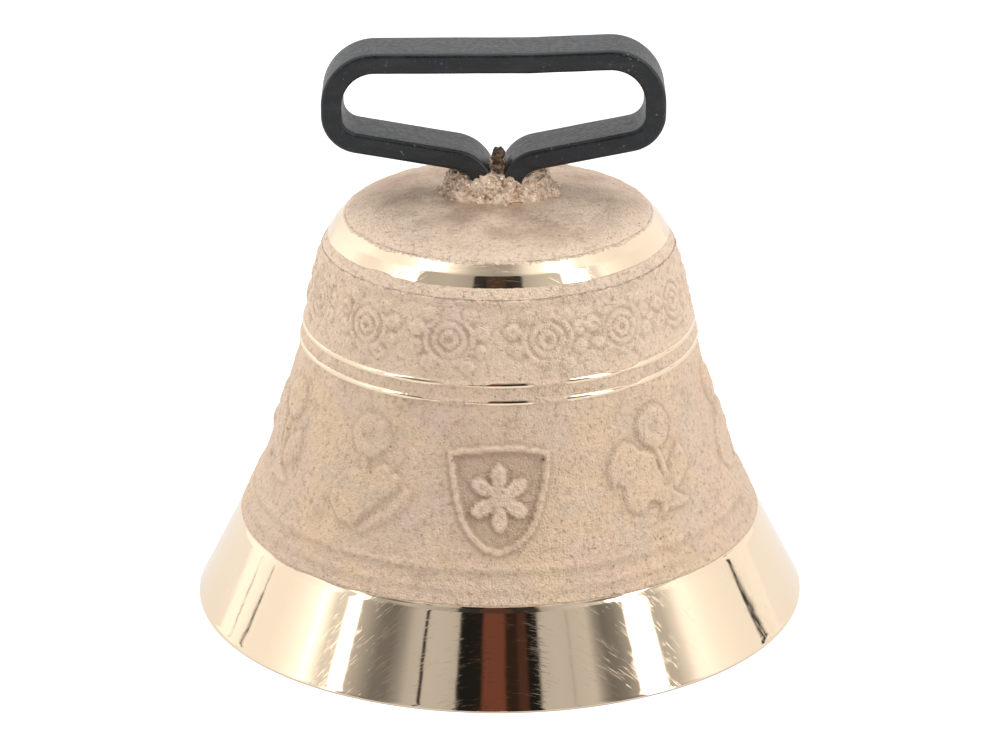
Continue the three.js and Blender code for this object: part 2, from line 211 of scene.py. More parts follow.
TABLE_HALF = 4.0
table = bmesh.new()
bmesh.ops.create_grid(table, x_segments=1, y_segments=1, size=TABLE_HALF)
table_mesh = bpy.data.meshes.new("light_table")
table.to_mesh(table_mesh)
table.free()
floor = bpy.data.objects.new("light_table", table_mesh)
scene.collection.objects.link(floor)
acrylic = bpy.data.materials.new("white_acrylic")
acrylic.use_nodes = True
sheet = acrylic.node_tree
sheet.nodes.clear()
GLOW, DIMMED = 1.0, 0.68
glow = plus(sheet, DIMMED, times(sheet, GLOW - DIMMED,
                                         node(sheet, "ShaderNodeLightPath").outputs["Is Camera Ray"]))
acrylic_top = node(sheet, "ShaderNodeBsdfPrincipled", {
    "Base Color": (0.25, 0.25, 0.25, 1), "Roughness": 0.9, "Specular IOR Level": 0.0,
    "Emission Color": (1, 1, 1, 1), "Emission Strength": glow})
underneath = node(sheet, "ShaderNodeMixShader", {
    0: node(sheet, "ShaderNodeNewGeometry").outputs["Backfacing"], 1: acrylic_top.outputs[0],
    2: node(sheet, "ShaderNodeBsdfTransparent").outputs[0]})
node(sheet, "ShaderNodeOutputMaterial", {"Surface": underneath.outputs[0]})
table_mesh.materials.append(acrylic)

camera = bpy.data.objects.new("camera", bpy.data.cameras.new("camera"))
scene.collection.objects.link(camera)
scene.camera = camera
camera.location = (0.00021, -0.76723, 0.34470)
CAMERA_PITCH, CAMERA_ROLL = 21.361, -0.21
camera.matrix_world = (Matrix.Translation(camera.location)
                       @ Matrix.Rotation(math.radians(90 - CAMERA_PITCH), 4, "X")
                       @ Matrix.Rotation(math.radians(CAMERA_ROLL), 4, "Z"))
camera.data.sensor_width = 36
camera.data.lens = 150.93

# ---------------------------------------------------------------- bell casting
# One bell of tin bronze, cast in sand with its ornament, then turned in a lathe on the lip,
# the crown band and two thin rings. The cut metal is polished, and the rest keeps the
# mould's grain. A slot through the crown takes the strap handle's two tangs.
LIP_RADIUS, LIP_EDGE = 60.0, 0.4
CONE_TOP = (51.1, 17.9)
WALL_THICKNESS, INNER_SLOPE = 4.0, 0.4525
WALL_LINE = [(34.0, 73.2), (36.9, 62.0), (39.4, 50.0), (43.1, 38.0), (46.8, 27.0), CONE_TOP]
CROWN_LINE = [(9.5, 83.0), (14.0, 83.0), (20.0, 82.3), (25.5, 80.9), (28.6, 79.7), (30.0, 78.6)]
BAND_LINE = [(31.7, 76.9), (33.1, 74.8), (34.0, 73.2)]
CEILING_LINE = [(28.6, 73.8), (25.5, 76.2), (20.0, 77.5), (12.0, 78.0), (9.5, 78.0)]
RING_HEIGHTS = (54.1, 57.3)
RING_HALF_WIDTH, RING_RISE = 0.7, 0.5
SLOT_HALF_X, SLOT_HALF_Y, SLOT_ROUND = 4.65, 6.3, 7.0
BELL_STEPS = 496
WELD, JOIN_WELD = 0.004 * MM, 0.02 * MM
WALL_ROW, RING_ROWS = 0.5, (-1.3, -1, -0.75, -0.5, 0, 0.5, 0.75, 1, 1.3)
WALL_FOOT, WALL_TOP, CROWN_FOOT, SLOT_LIP = 18.2, 73.0, 78.7, 9.0
DEEPEST = 3.0                     # the turned bands' depths are kept within this
MOULD_LINES = ((24.1, 0.60), (20.8, 0.42), (72.4, 0.30))    # height and depth of each


def curve_through(points, pieces):
    """Points along a smooth line through the given ones, with the same number of pieces in each span."""
    made = []
    for i in range(len(points) - 1):
        a, b, c, d = (Vector(points[max(0, min(len(points) - 1, i + k))]) for k in (-1, 0, 1, 2))
        start, end = (c - a) / 2, (d - b) / 2
        for k in range(pieces):
            t = k / pieces
            made.append(tuple((2 * b - 2 * c + start + end) * t ** 3
                              + (3 * c - 3 * b - 2 * start - end) * t ** 2 + start * t + b))
    return [*made, points[-1]]


wall_points = np.array(curve_through(WALL_LINE, 40))[::-1]


def wall_radius(height):
    """Outer radius of the plain wall at a height."""
    return np.interp(height, wall_points[:, 1], wall_points[:, 0])


def ring_rise(height):
    """How far the two turned rings stand off the wall at a height."""
    off = min(abs(height - ring) for ring in RING_HEIGHTS)
    return RING_RISE * max(0.0, 1 - (off / RING_HALF_WIDTH) ** 2)


def crisp(corners, set_back=0.13):
    """A broken line whose corners are kept sharp by rows on both sides of each."""
    made = [corners[0]]
    for i in range(1, len(corners) - 1):
        corner = Vector(corners[i])
        back, on = (Vector(corners[k]) - corner for k in (i - 1, i + 1))
        made += [tuple(corner + back.normalized() * set_back * k) for k in (3, 1)]
        made += [tuple(corner + on.normalized() * set_back * k) for k in (1, 3)]
    return [*made, corners[-1]]


def bell_line():
    """The bell's section: from the slot over the outside, round the lip and up the inside to the ceiling."""
    ring_rows = [ring + side * RING_HALF_WIDTH for ring in RING_HEIGHTS for side in RING_ROWS]
    plain = np.arange(18.4, 72.9, WALL_ROW)
    rows = [h for h in plain if all(abs(h - ring) > 1.1 for ring in RING_HEIGHTS)] + ring_rows
    wall = [(float(wall_radius(h)) + ring_rise(h), h) for h in sorted(rows, reverse=True)]
    slope = (LIP_RADIUS - CONE_TOP[0]) / (CONE_TOP[1] - LIP_EDGE)

    def cone(height):
        return (LIP_RADIUS - slope * (height - LIP_EDGE), height)

    crown = curve_through(CROWN_LINE, 4)[:-1]
    band = crisp([crown[-1], CROWN_LINE[-1], *BAND_LINE, wall[0]])[1:-1]
    run_out = [(51.22, 18.02), (51.02, 17.92), (51.05, 17.75), (51.22, 17.45)]
    faces = [cone(h) for h in (17.0, 16.6, 13, 9, 5, 1.6, 0.9)]
    edge = [(LIP_RADIUS, 0.46), (59.99, 0.33), (59.93, 0.18), (59.8, 0.06), (59.6, 0.0), (59.3, 0.0)]
    foot = [(55.6, 0.0), (55.2, 0.0)]
    inside = [(54.95, 0.5)]
    for h in (4, 8, 13, CONE_TOP[1], 23, 29, 35, 41, 47, 53, 59, 65, 70):
        plain_radius = float(wall_radius(max(h, CONE_TOP[1])))
        inside.append((plain_radius - WALL_THICKNESS + max(0.0, CONE_TOP[1] - h) * INNER_SLOPE, h))
    outer = [(SLOT_ROUND, 82.7), (SLOT_ROUND + 0.3, 83.0), *crown, *band, *wall, *run_out, *faces, *edge, *foot]
    inner = [*inside, *CEILING_LINE, (SLOT_ROUND, 78.0)]
    return outer + inner


def spun(bm, line, steps, axis=(0, 0, 1), closed=False):
    """Turns a line of (radius, height) points, in millimetres, about the Z axis."""
    verts = [bm.verts.new((radius * MM, 0, height * MM)) for radius, height in line]
    edges = [bm.edges.new(pair) for pair in zip(verts, verts[1:] + verts[:1] if closed else verts[1:])]
    bmesh.ops.spin(bm, geom=[*verts, *edges], cent=(0, 0, 0), axis=axis, dvec=(0, 0, 0),
                   angle=2 * math.pi, steps=steps, use_merge=True)


def as_piece(name, bm, material, sharp=38):
    """Makes the mesh's normals face out, marks its sharp edges and puts it in the scene."""
    bmesh.ops.recalc_face_normals(bm, faces=bm.faces)
    for face in bm.faces:
        face.smooth = True
    for edge in bm.edges:
        edge.smooth = not (len(edge.link_faces) == 2 and edge.calc_face_angle() > math.radians(sharp))
    mesh = bpy.data.meshes.new(name)
    bm.to_mesh(mesh)
    bm.free()
    if material:
        mesh.materials.append(material)
    made = bpy.data.objects.new(name, mesh)
    scene.collection.objects.link(made)
    return made


# Ornament, drawn in millimetres on the wall: u round it to the right, v up.
def raised(distance, soft=0.3):
    """1 inside a shape and 0 outside, with an edge that is soft on both sides."""
    share = np.clip(0.5 - distance / (2 * soft), 0, 1)
    return share * share * (3 - 2 * share)


def swelling(distance, height, shoulder=0.7):
    """A pillow that rises from a shape's outline to a height."""
    return height * (1 - np.exp(-np.clip(-distance, 0, None) / shoulder))


def outline_distance(u, v, corners):
    """Distance from a closed outline, negative inside it."""
    nearest, inside = np.full(u.shape, 1e9), np.zeros(u.shape, bool)
    for (u0, v0), (u1, v1) in zip(corners, corners[1:] + corners[:1]):
        du, dv = u1 - u0, v1 - v0
        share = np.clip(((u - u0) * du + (v - v0) * dv) / (du * du + dv * dv), 0, 1)
        nearest = np.minimum(nearest, np.hypot(u - u0 - share * du, v - v0 - share * dv))
        crossing = (v0 > v) != (v1 > v)
        inside ^= crossing & (u < u0 + du * (v - v0) / (dv or 1e-9))
    return np.where(inside, -nearest, nearest)


def bar_distance(u, v, start, end, width):
    """Distance from a straight bar with round ends."""
    du, dv = end[0] - start[0], end[1] - start[1]
    share = np.clip(((u - start[0]) * du + (v - start[1]) * dv) / (du * du + dv * dv), 0, 1)
    return np.hypot(u - start[0] - share * du, v - start[1] - share * dv) - width / 2


SHIELD_CENTRE = 36.8
SHIELD = [(-9.55, 8.2), (-6.5, 8.9), (-3.2, 9.25), (0, 9.35), (3.2, 9.25), (6.5, 8.9), (9.55, 8.2),
          (9.3, 4.2), (8.6, -0.4), (7.4, -4.4), (5.7, -7.1), (3.1, -9.3), (0, -10.2), (-3.1, -9.3),
          (-5.7, -7.1), (-7.4, -4.4), (-8.6, -0.4), (-9.3, 4.2)]
SPRAY_CENTRE = 45.2
OPEN_SPRAY = [(-7.9, -0.9), (-10.0, -1.7), (-11.6, -3.3), (-12.5, -5.3), (-12.7, -7.3), (-12.3, -9.2),
              (-11.1, -8.3), (-10.0, -9.2), (-10.4, -11.1), (-10.4, -13.3), (-9.1, -14.5), (-6.2, -14.5),
              (-5.3, -13.2), (-3.9, -12.9), (-2.6, -13.6), (-2.5, -15.0), (-3.3, -16.2), (-1.6, -16.3),
              (-0.4, -15.6), (1.9, -15.9), (4.4, -15.9), (6.1, -15.0), (3.0, -13.1), (1.1, -11.3),
              (0.1, -9.5), (-1.2, -7.2), (-1.3, -4.7), (-2.8, -4.0), (-5.0, -2.9), (-6.0, -1.4)]
OPEN_LEAF = [(6.2, -4.0), (7.4, -6.3), (7.9, -8.6), (7.3, -10.0), (5.0, -11.4), (2.5, -13.1), (1.1, -11.3),
             (1.0, -9.7), (1.6, -7.8), (3.0, -5.9)]
SOFT_SPRAY = [(-4.3, -6.8), (0.8, -5.9), (4.2, -3.8), (8.0, -6.0), (7.4, -8.9), (4.6, -11.2), (2.1, -13.8),
              (-0.5, -17.0), (-4.2, -16.5), (-7.6, -13.8), (-7.3, -10.2)]
SOFT_LEAF = [(8.7, -7.3), (10.7, -8.2), (10.4, -10.9), (7.7, -13.9), (4.1, -16.4), (1.5, -17.8), (0.5, -16.9),
             (2.8, -14.5), (5.2, -12.3), (8.0, -9.7)]

VEINS = (((-4.5, -4.5), (-9.6, -7.6)), ((-3.2, -7.5), (-8.3, -12.6)), ((5.9, -5.5), (3.4, -11.0)))


def shield(u, v):
    """A rimmed shield that holds a six-petalled flower."""
    edge = outline_distance(u, v, SHIELD)
    petals = np.zeros(u.shape)
    for k in range(6):
        turn = math.radians(90 + 60 * k)
        along = u * math.cos(turn) + v * math.sin(turn)
        across = np.abs(v * math.cos(turn) - u * math.sin(turn))
        share = np.clip((along - 0.4) / 5.7, 0, 1)
        petals = np.maximum(petals, raised(across - 3.5 * share ** 0.7 * (1 - share) ** 0.5 + 0.12, 0.22))
    petals = np.maximum(petals, 1.1 * raised(np.hypot(u, v) - 1.25, 0.25))
    rim = raised(np.abs(edge + 0.55) - 0.42, 0.32)
    field = raised(edge + 1.0, 0.3)
    height = 1.05 * rim + 0.85 * petals * field - 0.25 * field * (1 - np.minimum(petals, 1))
    # Painted shade: the recessed field round the petals is darkened, and so is a halo just outside the rim.
    painted_shade = 0.85 * field * (1 - np.minimum(petals, 1)) * (1 - rim)
    return height, painted_shade + 0.35 * np.exp(-np.clip(edge, 0, None) / 1.8) * (edge > 0)


def spray(u, v, mass, leaf, strength):
    """A round flower head over leaves on a stem."""
    head, leaves = np.hypot(u, v * 1.08) - 4.5, outline_distance(u, v, mass)
    blade, stem = outline_distance(u, v, leaf), bar_distance(u, v, (-0.7, -4.4), (1.0, -11.5), 1.5)
    height = np.maximum.reduce([
        swelling(head, 0.95, 0.9) - 0.45 * raised(head + 3.1, 0.7),
        swelling(leaves, 0.62, 0.8) + 0.2 * raised(np.abs(leaves + 0.75) - 0.3, 0.3),
        swelling(blade, 0.66, 0.7), 0.55 * raised(stem, 0.45)])
    for start, end in VEINS:
        height -= 0.2 * raised(bar_distance(u, v, start, end, 0.3), 0.4) * (leaves < 0.2)
    nearest = np.minimum.reduce([head, leaves, blade])
    # The second value is painted shade: a dark band along the outlines of the head, leaves and blade.
    return 1.35 * strength * height, strength * 0.7 * np.exp(-np.abs(nearest - 0.25) / 0.45)


def rosette(u, v, seed):
    """A boss and a ring inside a wreath of small outlined petals, each one filled to its own depth."""
    worn = np.random.default_rng(seed)
    away, turn = np.hypot(u, v * 1.06), np.arctan2(v, u)
    height = 0.42 * raised(np.abs(away - 1.25) - 0.35, 0.3) + 0.30 * raised(np.abs(away - 2.85) - 0.4, 0.35)
    fill = 0.62 + 0.38 * np.cos(2 * turn + worn.uniform(0, 6))
    height += 0.45 * raised(np.abs(away - 4.5) - 0.42, 0.35) * fill
    for k in range(10):
        at = 2 * math.pi * (k + 0.5) / 10
        reach, size = worn.uniform(6.2, 6.8), worn.uniform(0.95, 1.3)
        petal = np.hypot((u - reach * math.cos(at)) * 0.8, v - 0.86 * reach * math.sin(at)) - size
        depth = worn.uniform(0.35, 0.75) * (0.3 + 0.7 * abs(math.cos(at)))
        height = np.maximum(height, depth * (raised(petal, 0.35) - 0.4 * raised(petal + 0.65, 0.3)))
    # The second value is painted shade: two dark rings, just outside the outer ring and between it and the
    # middle ring.
    return 1.2 * height, 0.35 * np.exp(-np.abs(away - 5.5) / 0.35) + 0.3 * np.exp(-np.abs(away - 3.8) / 0.35)


ROSETTE_HEIGHT = 65.3
ROSETTES = (-43.4, -15.0, 14.7, 40.0, 66.7, 94.0, 122.0, 150.0, 178.0, -154.0, -127.0, -99.0, -71.0)
ORNAMENT = [(0.0, SHIELD_CENTRE, 13, shield, ()), (180.0, SHIELD_CENTRE, 13, shield, ())]
ORNAMENT += [(at, SPRAY_CENTRE, 22, spray, (OPEN_SPRAY, OPEN_LEAF, depth))
             for at, depth in ((45.6, 1.0), (118.0, 0.9), (-72.0, 0.8), (-145.0, 1.0))]
ORNAMENT += [(at, SPRAY_CENTRE, 22, spray, (SOFT_SPRAY, SOFT_LEAF, depth))
             for at, depth in ((-36.2, 0.72), (83.0, 0.8), (147.0, 0.9), (-108.0, 0.9))]
ORNAMENT += [(at, ROSETTE_HEIGHT, 10, rosette, (i + 3,)) for i, at in enumerate(ROSETTES)]


WANDER = 0.13                     # how far the outlines wander


def ornament(around, height):
    """How far the cast ornament stands off the wall, and how much painted shade lies there. Around is in
    degrees.
    """
    rise, painted_shade = np.zeros(height.shape), np.zeros(height.shape)
    for at, centre, reach, draw, extra in ORNAMENT:
        u = np.radians((around - at + 180) % 360 - 180) * wall_radius(height)
        near = (np.abs(u) < reach) & (np.abs(height - centre) < reach)
        u, v = u[near], height[near] - centre
        # The pattern was pressed in loose sand, so its outlines wander.
        wander_u = WANDER * (np.sin(0.45 * v + 0.3 * u + at) + 0.35 * np.sin(2.9 * v - 1.7 * u + 2 * at))
        wander_v = WANDER * (np.sin(0.40 * u - 0.3 * v + 3 * at) + 0.35 * np.sin(2.6 * u + 2.1 * v + at))
        found, found_shade = draw(u + wander_u, v + wander_v, *extra)
        rise[near] += found
        painted_shade[near] = np.maximum(painted_shade[near], found_shade)
    return rise, painted_shade


# The casting is never quite round, so the lathe's tool missed the rings in places: degrees round, half width.
MISSED = [(14.6, 4.6), (-12.8, 2.9), (96.0, 9.0), (-103.0, 6.0), (158.0, 7.0), (-166.0, 5.0)]


def turned_depth(around, height):
    """How far inside a turned band a place is, negative outside the bands."""
    bands = [CONE_TOP[1] - height, np.minimum(CROWN_LINE[-1][1] - height, height - BAND_LINE[1][1])]
    missed = sum(np.exp(-((around - at) / half) ** 4) for at, half in MISSED)
    bands += [0.50 - np.abs(height - ring) - 0.9 * missed for ring in RING_HEIGHTS]
    return np.clip(np.maximum.reduce(bands), -DEEPEST, DEEPEST)


bell_bm = bmesh.new()
spun(bell_bm, bell_line(), BELL_STEPS, closed=True)
bmesh.ops.recalc_face_normals(bell_bm, faces=bell_bm.faces)
for face in bell_bm.faces:
    face.smooth = True
bell_mesh = bpy.data.meshes.new("bell_casting")
bell_bm.to_mesh(bell_mesh)
bell_bm.free()
places = np.empty(len(bell_mesh.vertices) * 3, np.float32)
bell_mesh.vertices.foreach_get("co", places)
places = places.reshape(-1, 3).astype(float) / MM
away, turn = np.hypot(places[:, 0], places[:, 1]), np.arctan2(places[:, 1], places[:, 0])
# The slot's rows were spun round, and are drawn out to its four straight sides.
to_side = np.minimum(SLOT_HALF_X / np.maximum(np.abs(np.cos(turn)), 1e-6),
                     SLOT_HALF_Y / np.maximum(np.abs(np.sin(turn)), 1e-6))
squeeze = np.where(away < SLOT_ROUND + 0.4, (to_side + away - SLOT_ROUND) / away, 1.0)
places[:, :2] *= squeeze[:, None]
away, height = np.hypot(places[:, 0], places[:, 1]), places[:, 2].copy()
outer_line = np.array([(0.0, LIP_RADIUS), (LIP_EDGE, LIP_RADIUS), CONE_TOP[::-1], *wall_points[:, ::-1],
                       *(row[::-1] for row in BAND_LINE[-2::-1]), CROWN_LINE[-1][::-1]])
outer_here = np.interp(height, outer_line[:, 0], outer_line[:, 1])
is_inside = (height > 0.3) & (height < 78.3) & (away < outer_here - 1.2)
is_wall = ~is_inside & (height > WALL_FOOT) & (height < WALL_TOP)
is_crown = (height > CROWN_FOOT) & (away > SLOT_LIP + 0.6)
outward = np.degrees(np.arctan2(places[:, 0], -places[:, 1]))
rise, painted_shade, painted_relief_shading = np.zeros(len(places)), np.zeros(len(places)), np.zeros(len(places))
rise[is_wall], painted_shade[is_wall] = ornament(outward[is_wall], height[is_wall])
# Painted highlight and shade: what stands above its surroundings is painted lighter, and what lies below them
# darker, in place of the relief's shading.
ABOUT = 0.9
turn_about = np.degrees(ABOUT / away)
painted_relief_shading[is_wall] = rise[is_wall] - sum(
    ornament((outward + across * turn_about)[is_wall], (height + up * ABOUT)[is_wall])[0]
    for across, up in ((1, 0), (-1, 0), (0, 1), (0, -1))) / 4
# Each mould line is a low raised band, with painted shadow in a band 1 mm below it.
for line, depth in MOULD_LINES:
    rise += is_wall * depth * raised(np.abs(height - line) - 0.3, 0.45)
    painted_shade += is_wall * depth * raised(np.abs(height - line + 1.0) - 0.3, 0.45)
# Sand never fills its pattern exactly, so the raw surfaces are a little uneven: reach and depth of each swell.
SWELLS = ((4.5, 0.20), (1.5, 0.11))
depth_in_band = turned_depth(outward, height)
for i in np.nonzero((is_wall | is_crown) & (depth_in_band < -0.2))[0]:
    spot = Vector(places[i])
    rise[i] = math.tanh(rise[i] * (1.0 + 0.45 * noise.noise(spot / 2.1)))
    for reach, depth in SWELLS:
        rise[i] += depth * noise.noise(spot / reach)
tilt = np.radians(np.where(is_crown, 75, 18))
direction = np.stack([np.cos(tilt) * places[:, 0] / away, np.cos(tilt) * places[:, 1] / away, np.sin(tilt)], 1)
places += direction * rise[:, None]
bell_mesh.vertices.foreach_set("co", (places * MM).astype(np.float32).ravel())
is_hidden = is_inside | (away < SLOT_LIP)
depth_in_band[is_hidden] = -DEEPEST
# The second attribute carries painted shade to the material, and the third carries painted highlight and shade.
for label, values in (("turned", depth_in_band), ("painted_shade", painted_shade), ("painted_relief_shading", painted_relief_shading), ("inside", is_hidden)):
    bell_mesh.attributes.new(label, "FLOAT", "POINT").data.foreach_set("value", values.astype(np.float32))
bell_mesh.update()


def effect(name, inputs, outputs):
    """A shader node group with named inputs and outputs: the group, and the nodes at its two ends."""
    group = bpy.data.node_groups.new(name, "ShaderNodeTree")
    for label, kind, value in inputs:
        socket = group.interface.new_socket(label, in_out="INPUT", socket_type="NodeSocket" + kind)
        if value is not None:
            socket.default_value = value
    for label, kind in outputs:
        group.interface.new_socket(label, in_out="OUTPUT", socket_type="NodeSocket" + kind)
    return group, group.nodes.new("NodeGroupInput").outputs, group.nodes.new("NodeGroupOutput")


def noise_at(tree, where, scale, detail=3.0, roughness=0.55, distortion=0.0):
    """Fractal noise from 0 to 1 at a place, with its scale in steps per metre."""
    made = node(tree, "ShaderNodeTexNoise", {"Vector": where, "Scale": scale, "Detail": detail,
                                            "Roughness": roughness, "Distortion": distortion})
    return made.outputs["Fac"]


def patches(tree, where, scale, low, high, detail=3.0, roughness=0.55):
    """Patches of fractal noise: 0 where it is at low or less, and 1 where it is at high or more."""
    return between(tree, noise_at(tree, where, scale, detail, roughness), low, high)


# The grain that sand leaves in bronze: fused grains, dark pits between them and bright facets.
sand_grain, ins, outs = effect(
    "sand_grain", [("Vector", "Vector", None), ("Grains per Metre", "Float", 2400.0), ("Pits", "Float", 0.66)],
    [("Height", "Float"), ("Pits", "Float"), ("Glints", "Float")])
fine = noise_at(sand_grain, ins["Vector"], ins["Grains per Metre"], 2.0)
coarse = noise_at(sand_grain, ins["Vector"], times(sand_grain, ins["Grains per Metre"], 0.4), 2.0)
lumps = node(sand_grain, "ShaderNodeTexVoronoi", {"Vector": ins["Vector"], "Scale": ins["Grains per Metre"]})
pit_size = noise_at(sand_grain, ins["Vector"], times(sand_grain, ins["Grains per Metre"], 0.33), 1.0)
pit = node(sand_grain, "ShaderNodeMapRange", {
    "Value": pit_size, "From Min": ins["Pits"], "From Max": plus(sand_grain, ins["Pits"], 0.05)})
grain_height = plus(sand_grain, times(sand_grain, fine, 0.5), times(sand_grain, coarse, 0.7))
grain_height = less(sand_grain, grain_height, times(sand_grain, lumps.outputs["Distance"], 0.3))
grain_height = less(sand_grain, grain_height, times(sand_grain, pit.outputs[0], 0.5))
shine = node(sand_grain, "ShaderNodeSeparateColor", {0: lumps.outputs["Color"]})
sand_grain.links.new(grain_height, outs.inputs["Height"])
sand_grain.links.new(pit.outputs[0], outs.inputs["Pits"])
sand_grain.links.new(maths(sand_grain, "GREATER_THAN", shine.outputs[0], 0.965), outs.inputs["Glints"])

# Fine scratches from wiping and handling, in a few crossing directions.
scratches, ins, outs = effect(
    "fine_scratches", [("Vector", "Vector", None), ("Length", "Float", 30.0), ("Amount", "Float", 0.6)],
    [("Mask", "Float")])
scored = None
for angle in (0.35, 1.3, 2.2):
    turned_place = node(scratches, "ShaderNodeMapping", {
        "Vector": ins["Vector"], "Rotation": (angle, angle * 1.7, angle * 0.6), "Scale": (1, 45, 1)})
    line = noise_at(scratches, turned_place.outputs[0], times(scratches, ins["Length"], 3.0), 2.0)
    patch = noise_at(scratches, ins["Vector"], 90.0 + 40 * angle, 1.0)
    cut = between(scratches, line, 0.60, 0.72)
    cut = times(scratches, cut, between(scratches, patch, 0.48, 0.62))
    scored = cut if scored is None else maths(scratches, "MAXIMUM", scored, cut)
scratches.links.new(times(scratches, scored, ins["Amount"], clamp=True), outs.inputs["Mask"])


def place_effect(tree, group, **values):
    """Places an effect in a material, with its own values, where an underscore stands for a space."""
    inputs = {key.replace("_", " "): value for key, value in values.items()}
    made = tree.nodes.new("ShaderNodeGroup")
    made.node_tree = group
    for key, value in inputs.items():
        if isinstance(value, bpy.types.NodeSocket):
            tree.links.new(value, made.inputs[key])
        else:
            made.inputs[key].default_value = value
    return made.outputs


def finish_of(name, **fixed):
    """A new material: its node tree, its Principled shader with the fixed values set, and its object place."""
    made = bpy.data.materials.new(name)
    made.use_nodes = True
    tree = made.node_tree
    tree.nodes.clear()
    values = {key.replace("_", " "): value for key, value in fixed.items()}
    shader = node(tree, "ShaderNodeBsdfPrincipled", values)
    node(tree, "ShaderNodeOutputMaterial", {"Surface": shader.outputs[0]})
    return made, tree, shader.inputs, node(tree, "ShaderNodeTexCoord").outputs["Object"]


def relief(tree, height, distance, strength=1.0, under=None):
    """A surface normal from a height, over the one that is there already."""
    inputs = {"Height": height, "Distance": distance, "Strength": strength}
    if under is not None:
        inputs["Normal"] = under
    return node(tree, "ShaderNodeBump", inputs).outputs[0]


RAW_TAN, RAW_YELLOW, RAW_PINK = (0.775, 0.590, 0.445), (0.80, 0.610, 0.430), (0.75, 0.590, 0.465)
RAW_GREY, RAW_BROWN, PIT_BROWN = (0.49, 0.360, 0.260), (0.38, 0.255, 0.170), (0.30, 0.200, 0.135)
RAW_LIGHT, INNER_BROWN = (0.94, 0.775, 0.620), (0.70, 0.52, 0.37)
# The second colour is a painted shadow on the lip's lowest edge.
POLISHED, LIP_SHADOW_PAINT = (0.93, 0.75, 0.55), (0.38, 0.29, 0.26)
bronze, tree, shader, here = finish_of("cast_and_turned_bronze", Specular_IOR_Level=0.5)
low = node(tree, "ShaderNodeSeparateXYZ", {0: here}).outputs
turned = node(tree, "ShaderNodeAttribute", attribute_name="turned").outputs["Fac"]
painted_shade_share = node(tree, "ShaderNodeAttribute", attribute_name="painted_shade").outputs["Fac"]
inner = node(tree, "ShaderNodeAttribute", attribute_name="inside").outputs["Fac"]
painted_relief_shading_share = node(tree, "ShaderNodeAttribute", attribute_name="painted_relief_shading").outputs["Fac"]
grain = place_effect(tree, sand_grain, Vector=here, Grains_per_Metre=2600.0, Pits=0.745)
# The lathe's edge wanders where it leaves raw metal, most of all round the crown.
wander = node(tree, "ShaderNodeMapRange", {"Value": low["Z"], "From Min": 75.5 * MM, "From Max": 78 * MM,
                                           "To Min": 0.35, "To Max": 1.1}).outputs[0]
edge_noise = less(tree, noise_at(tree, here, 1300.0, 3.0), 0.5)
cut_line = plus(tree, turned, times(tree, edge_noise, wander))
skip = times(tree, patches(tree, here, 75.0, 0.55, 0.68, 1.0), 0.35)
cut_line = less(tree, cut_line, skip)
bright = between(tree, cut_line, -0.05, 0.06)
yellower = patches(tree, here, 55.0, 0.42, 0.62, 2.0)
pinker = patches(tree, here, 95.0, 0.45, 0.65)
raw = mix(tree, yellower, RAW_TAN, RAW_YELLOW)
# Painted light: the wall is paler from 48 mm up, and the crown paler again from 76 mm up, for the stronger
# light on the upper bell.
painted_upper_light = plus(tree, times(tree, between(tree, low["Z"], 48 * MM, 60 * MM), 0.45),
              times(tree, between(tree, low["Z"], 76 * MM, 80 * MM), 0.2))
raw = mix(tree, times(tree, pinker, 0.8), raw, RAW_PINK)
raw = mix(tree, painted_upper_light, raw, RAW_LIGHT)
clouds = patches(tree, here, 210.0, 0.48, 0.78, 4.0, 0.65)
raw = mix(tree, times(tree, clouds, 0.45), raw, RAW_GREY)
speckle = noise_at(tree, here, 1150.0, 3.0, 0.7)
raw = mix(tree, times(tree, between(tree, speckle, 0.51, 0.70), 0.55), raw, RAW_BROWN)
raw = mix(tree, times(tree, between(tree, speckle, 0.47, 0.30), 0.35), raw, RAW_LIGHT)
# Smoke and flux darkened the crown unevenly round the poured root.
smoked = times(tree, patches(tree, here, 80.0, 0.42, 0.68, 4.0, 0.6),
               between(tree, low["Z"], 79.5 * MM, 82.5 * MM))
raw = mix(tree, times(tree, smoked, 0.55), raw, RAW_BROWN)
# Painted shade: the foot of the crown is browner towards its back.
painted_back_shade = times(tree, between(tree, low["Y"], -14 * MM, 12 * MM), between(tree, low["Z"], 78.5 * MM, 80 * MM))
raw = mix(tree, times(tree, painted_back_shade, 0.42), raw, RAW_BROWN)
# Painted shade: the ornament's recesses and outlines, and the bands under the mould lines, are greyed.
raw = mix(tree, times(tree, painted_shade_share, 0.50), raw, RAW_GREY)
# Painted shade in the relief's hollows, and painted highlight on its raised tops.
raw = mix(tree, times(tree, between(tree, painted_relief_shading_share, -0.02, -0.25), 0.42), raw, RAW_GREY)
raw = mix(tree, times(tree, between(tree, painted_relief_shading_share, 0.02, 0.28), 0.38), raw, RAW_LIGHT)
raw = mix(tree, times(tree, grain["Pits"], 0.6), raw, PIT_BROWN)
# One brown stain left by the pour, on the crown.
STAIN_AT, STAIN_REACH = (-18.9 * MM, -4.6 * MM, 82 * MM), 5.2 * MM
from_stain = node(tree, "ShaderNodeVectorMath", {0: here, 1: STAIN_AT}, operation="DISTANCE").outputs["Value"]
from_stain = plus(tree, from_stain, times(tree, edge_noise, 3 * MM))
stain = less(tree, 1.0, between(tree, from_stain, 0.35 * STAIN_REACH, STAIN_REACH))
raw = mix(tree, times(tree, stain, 0.45), raw, RAW_BROWN)
raw = mix(tree, times(tree, inner, 0.75), raw, INNER_BROWN)
marks = place_effect(tree, scratches, Vector=here, Length=85.0, Amount=0.55)["Mask"]
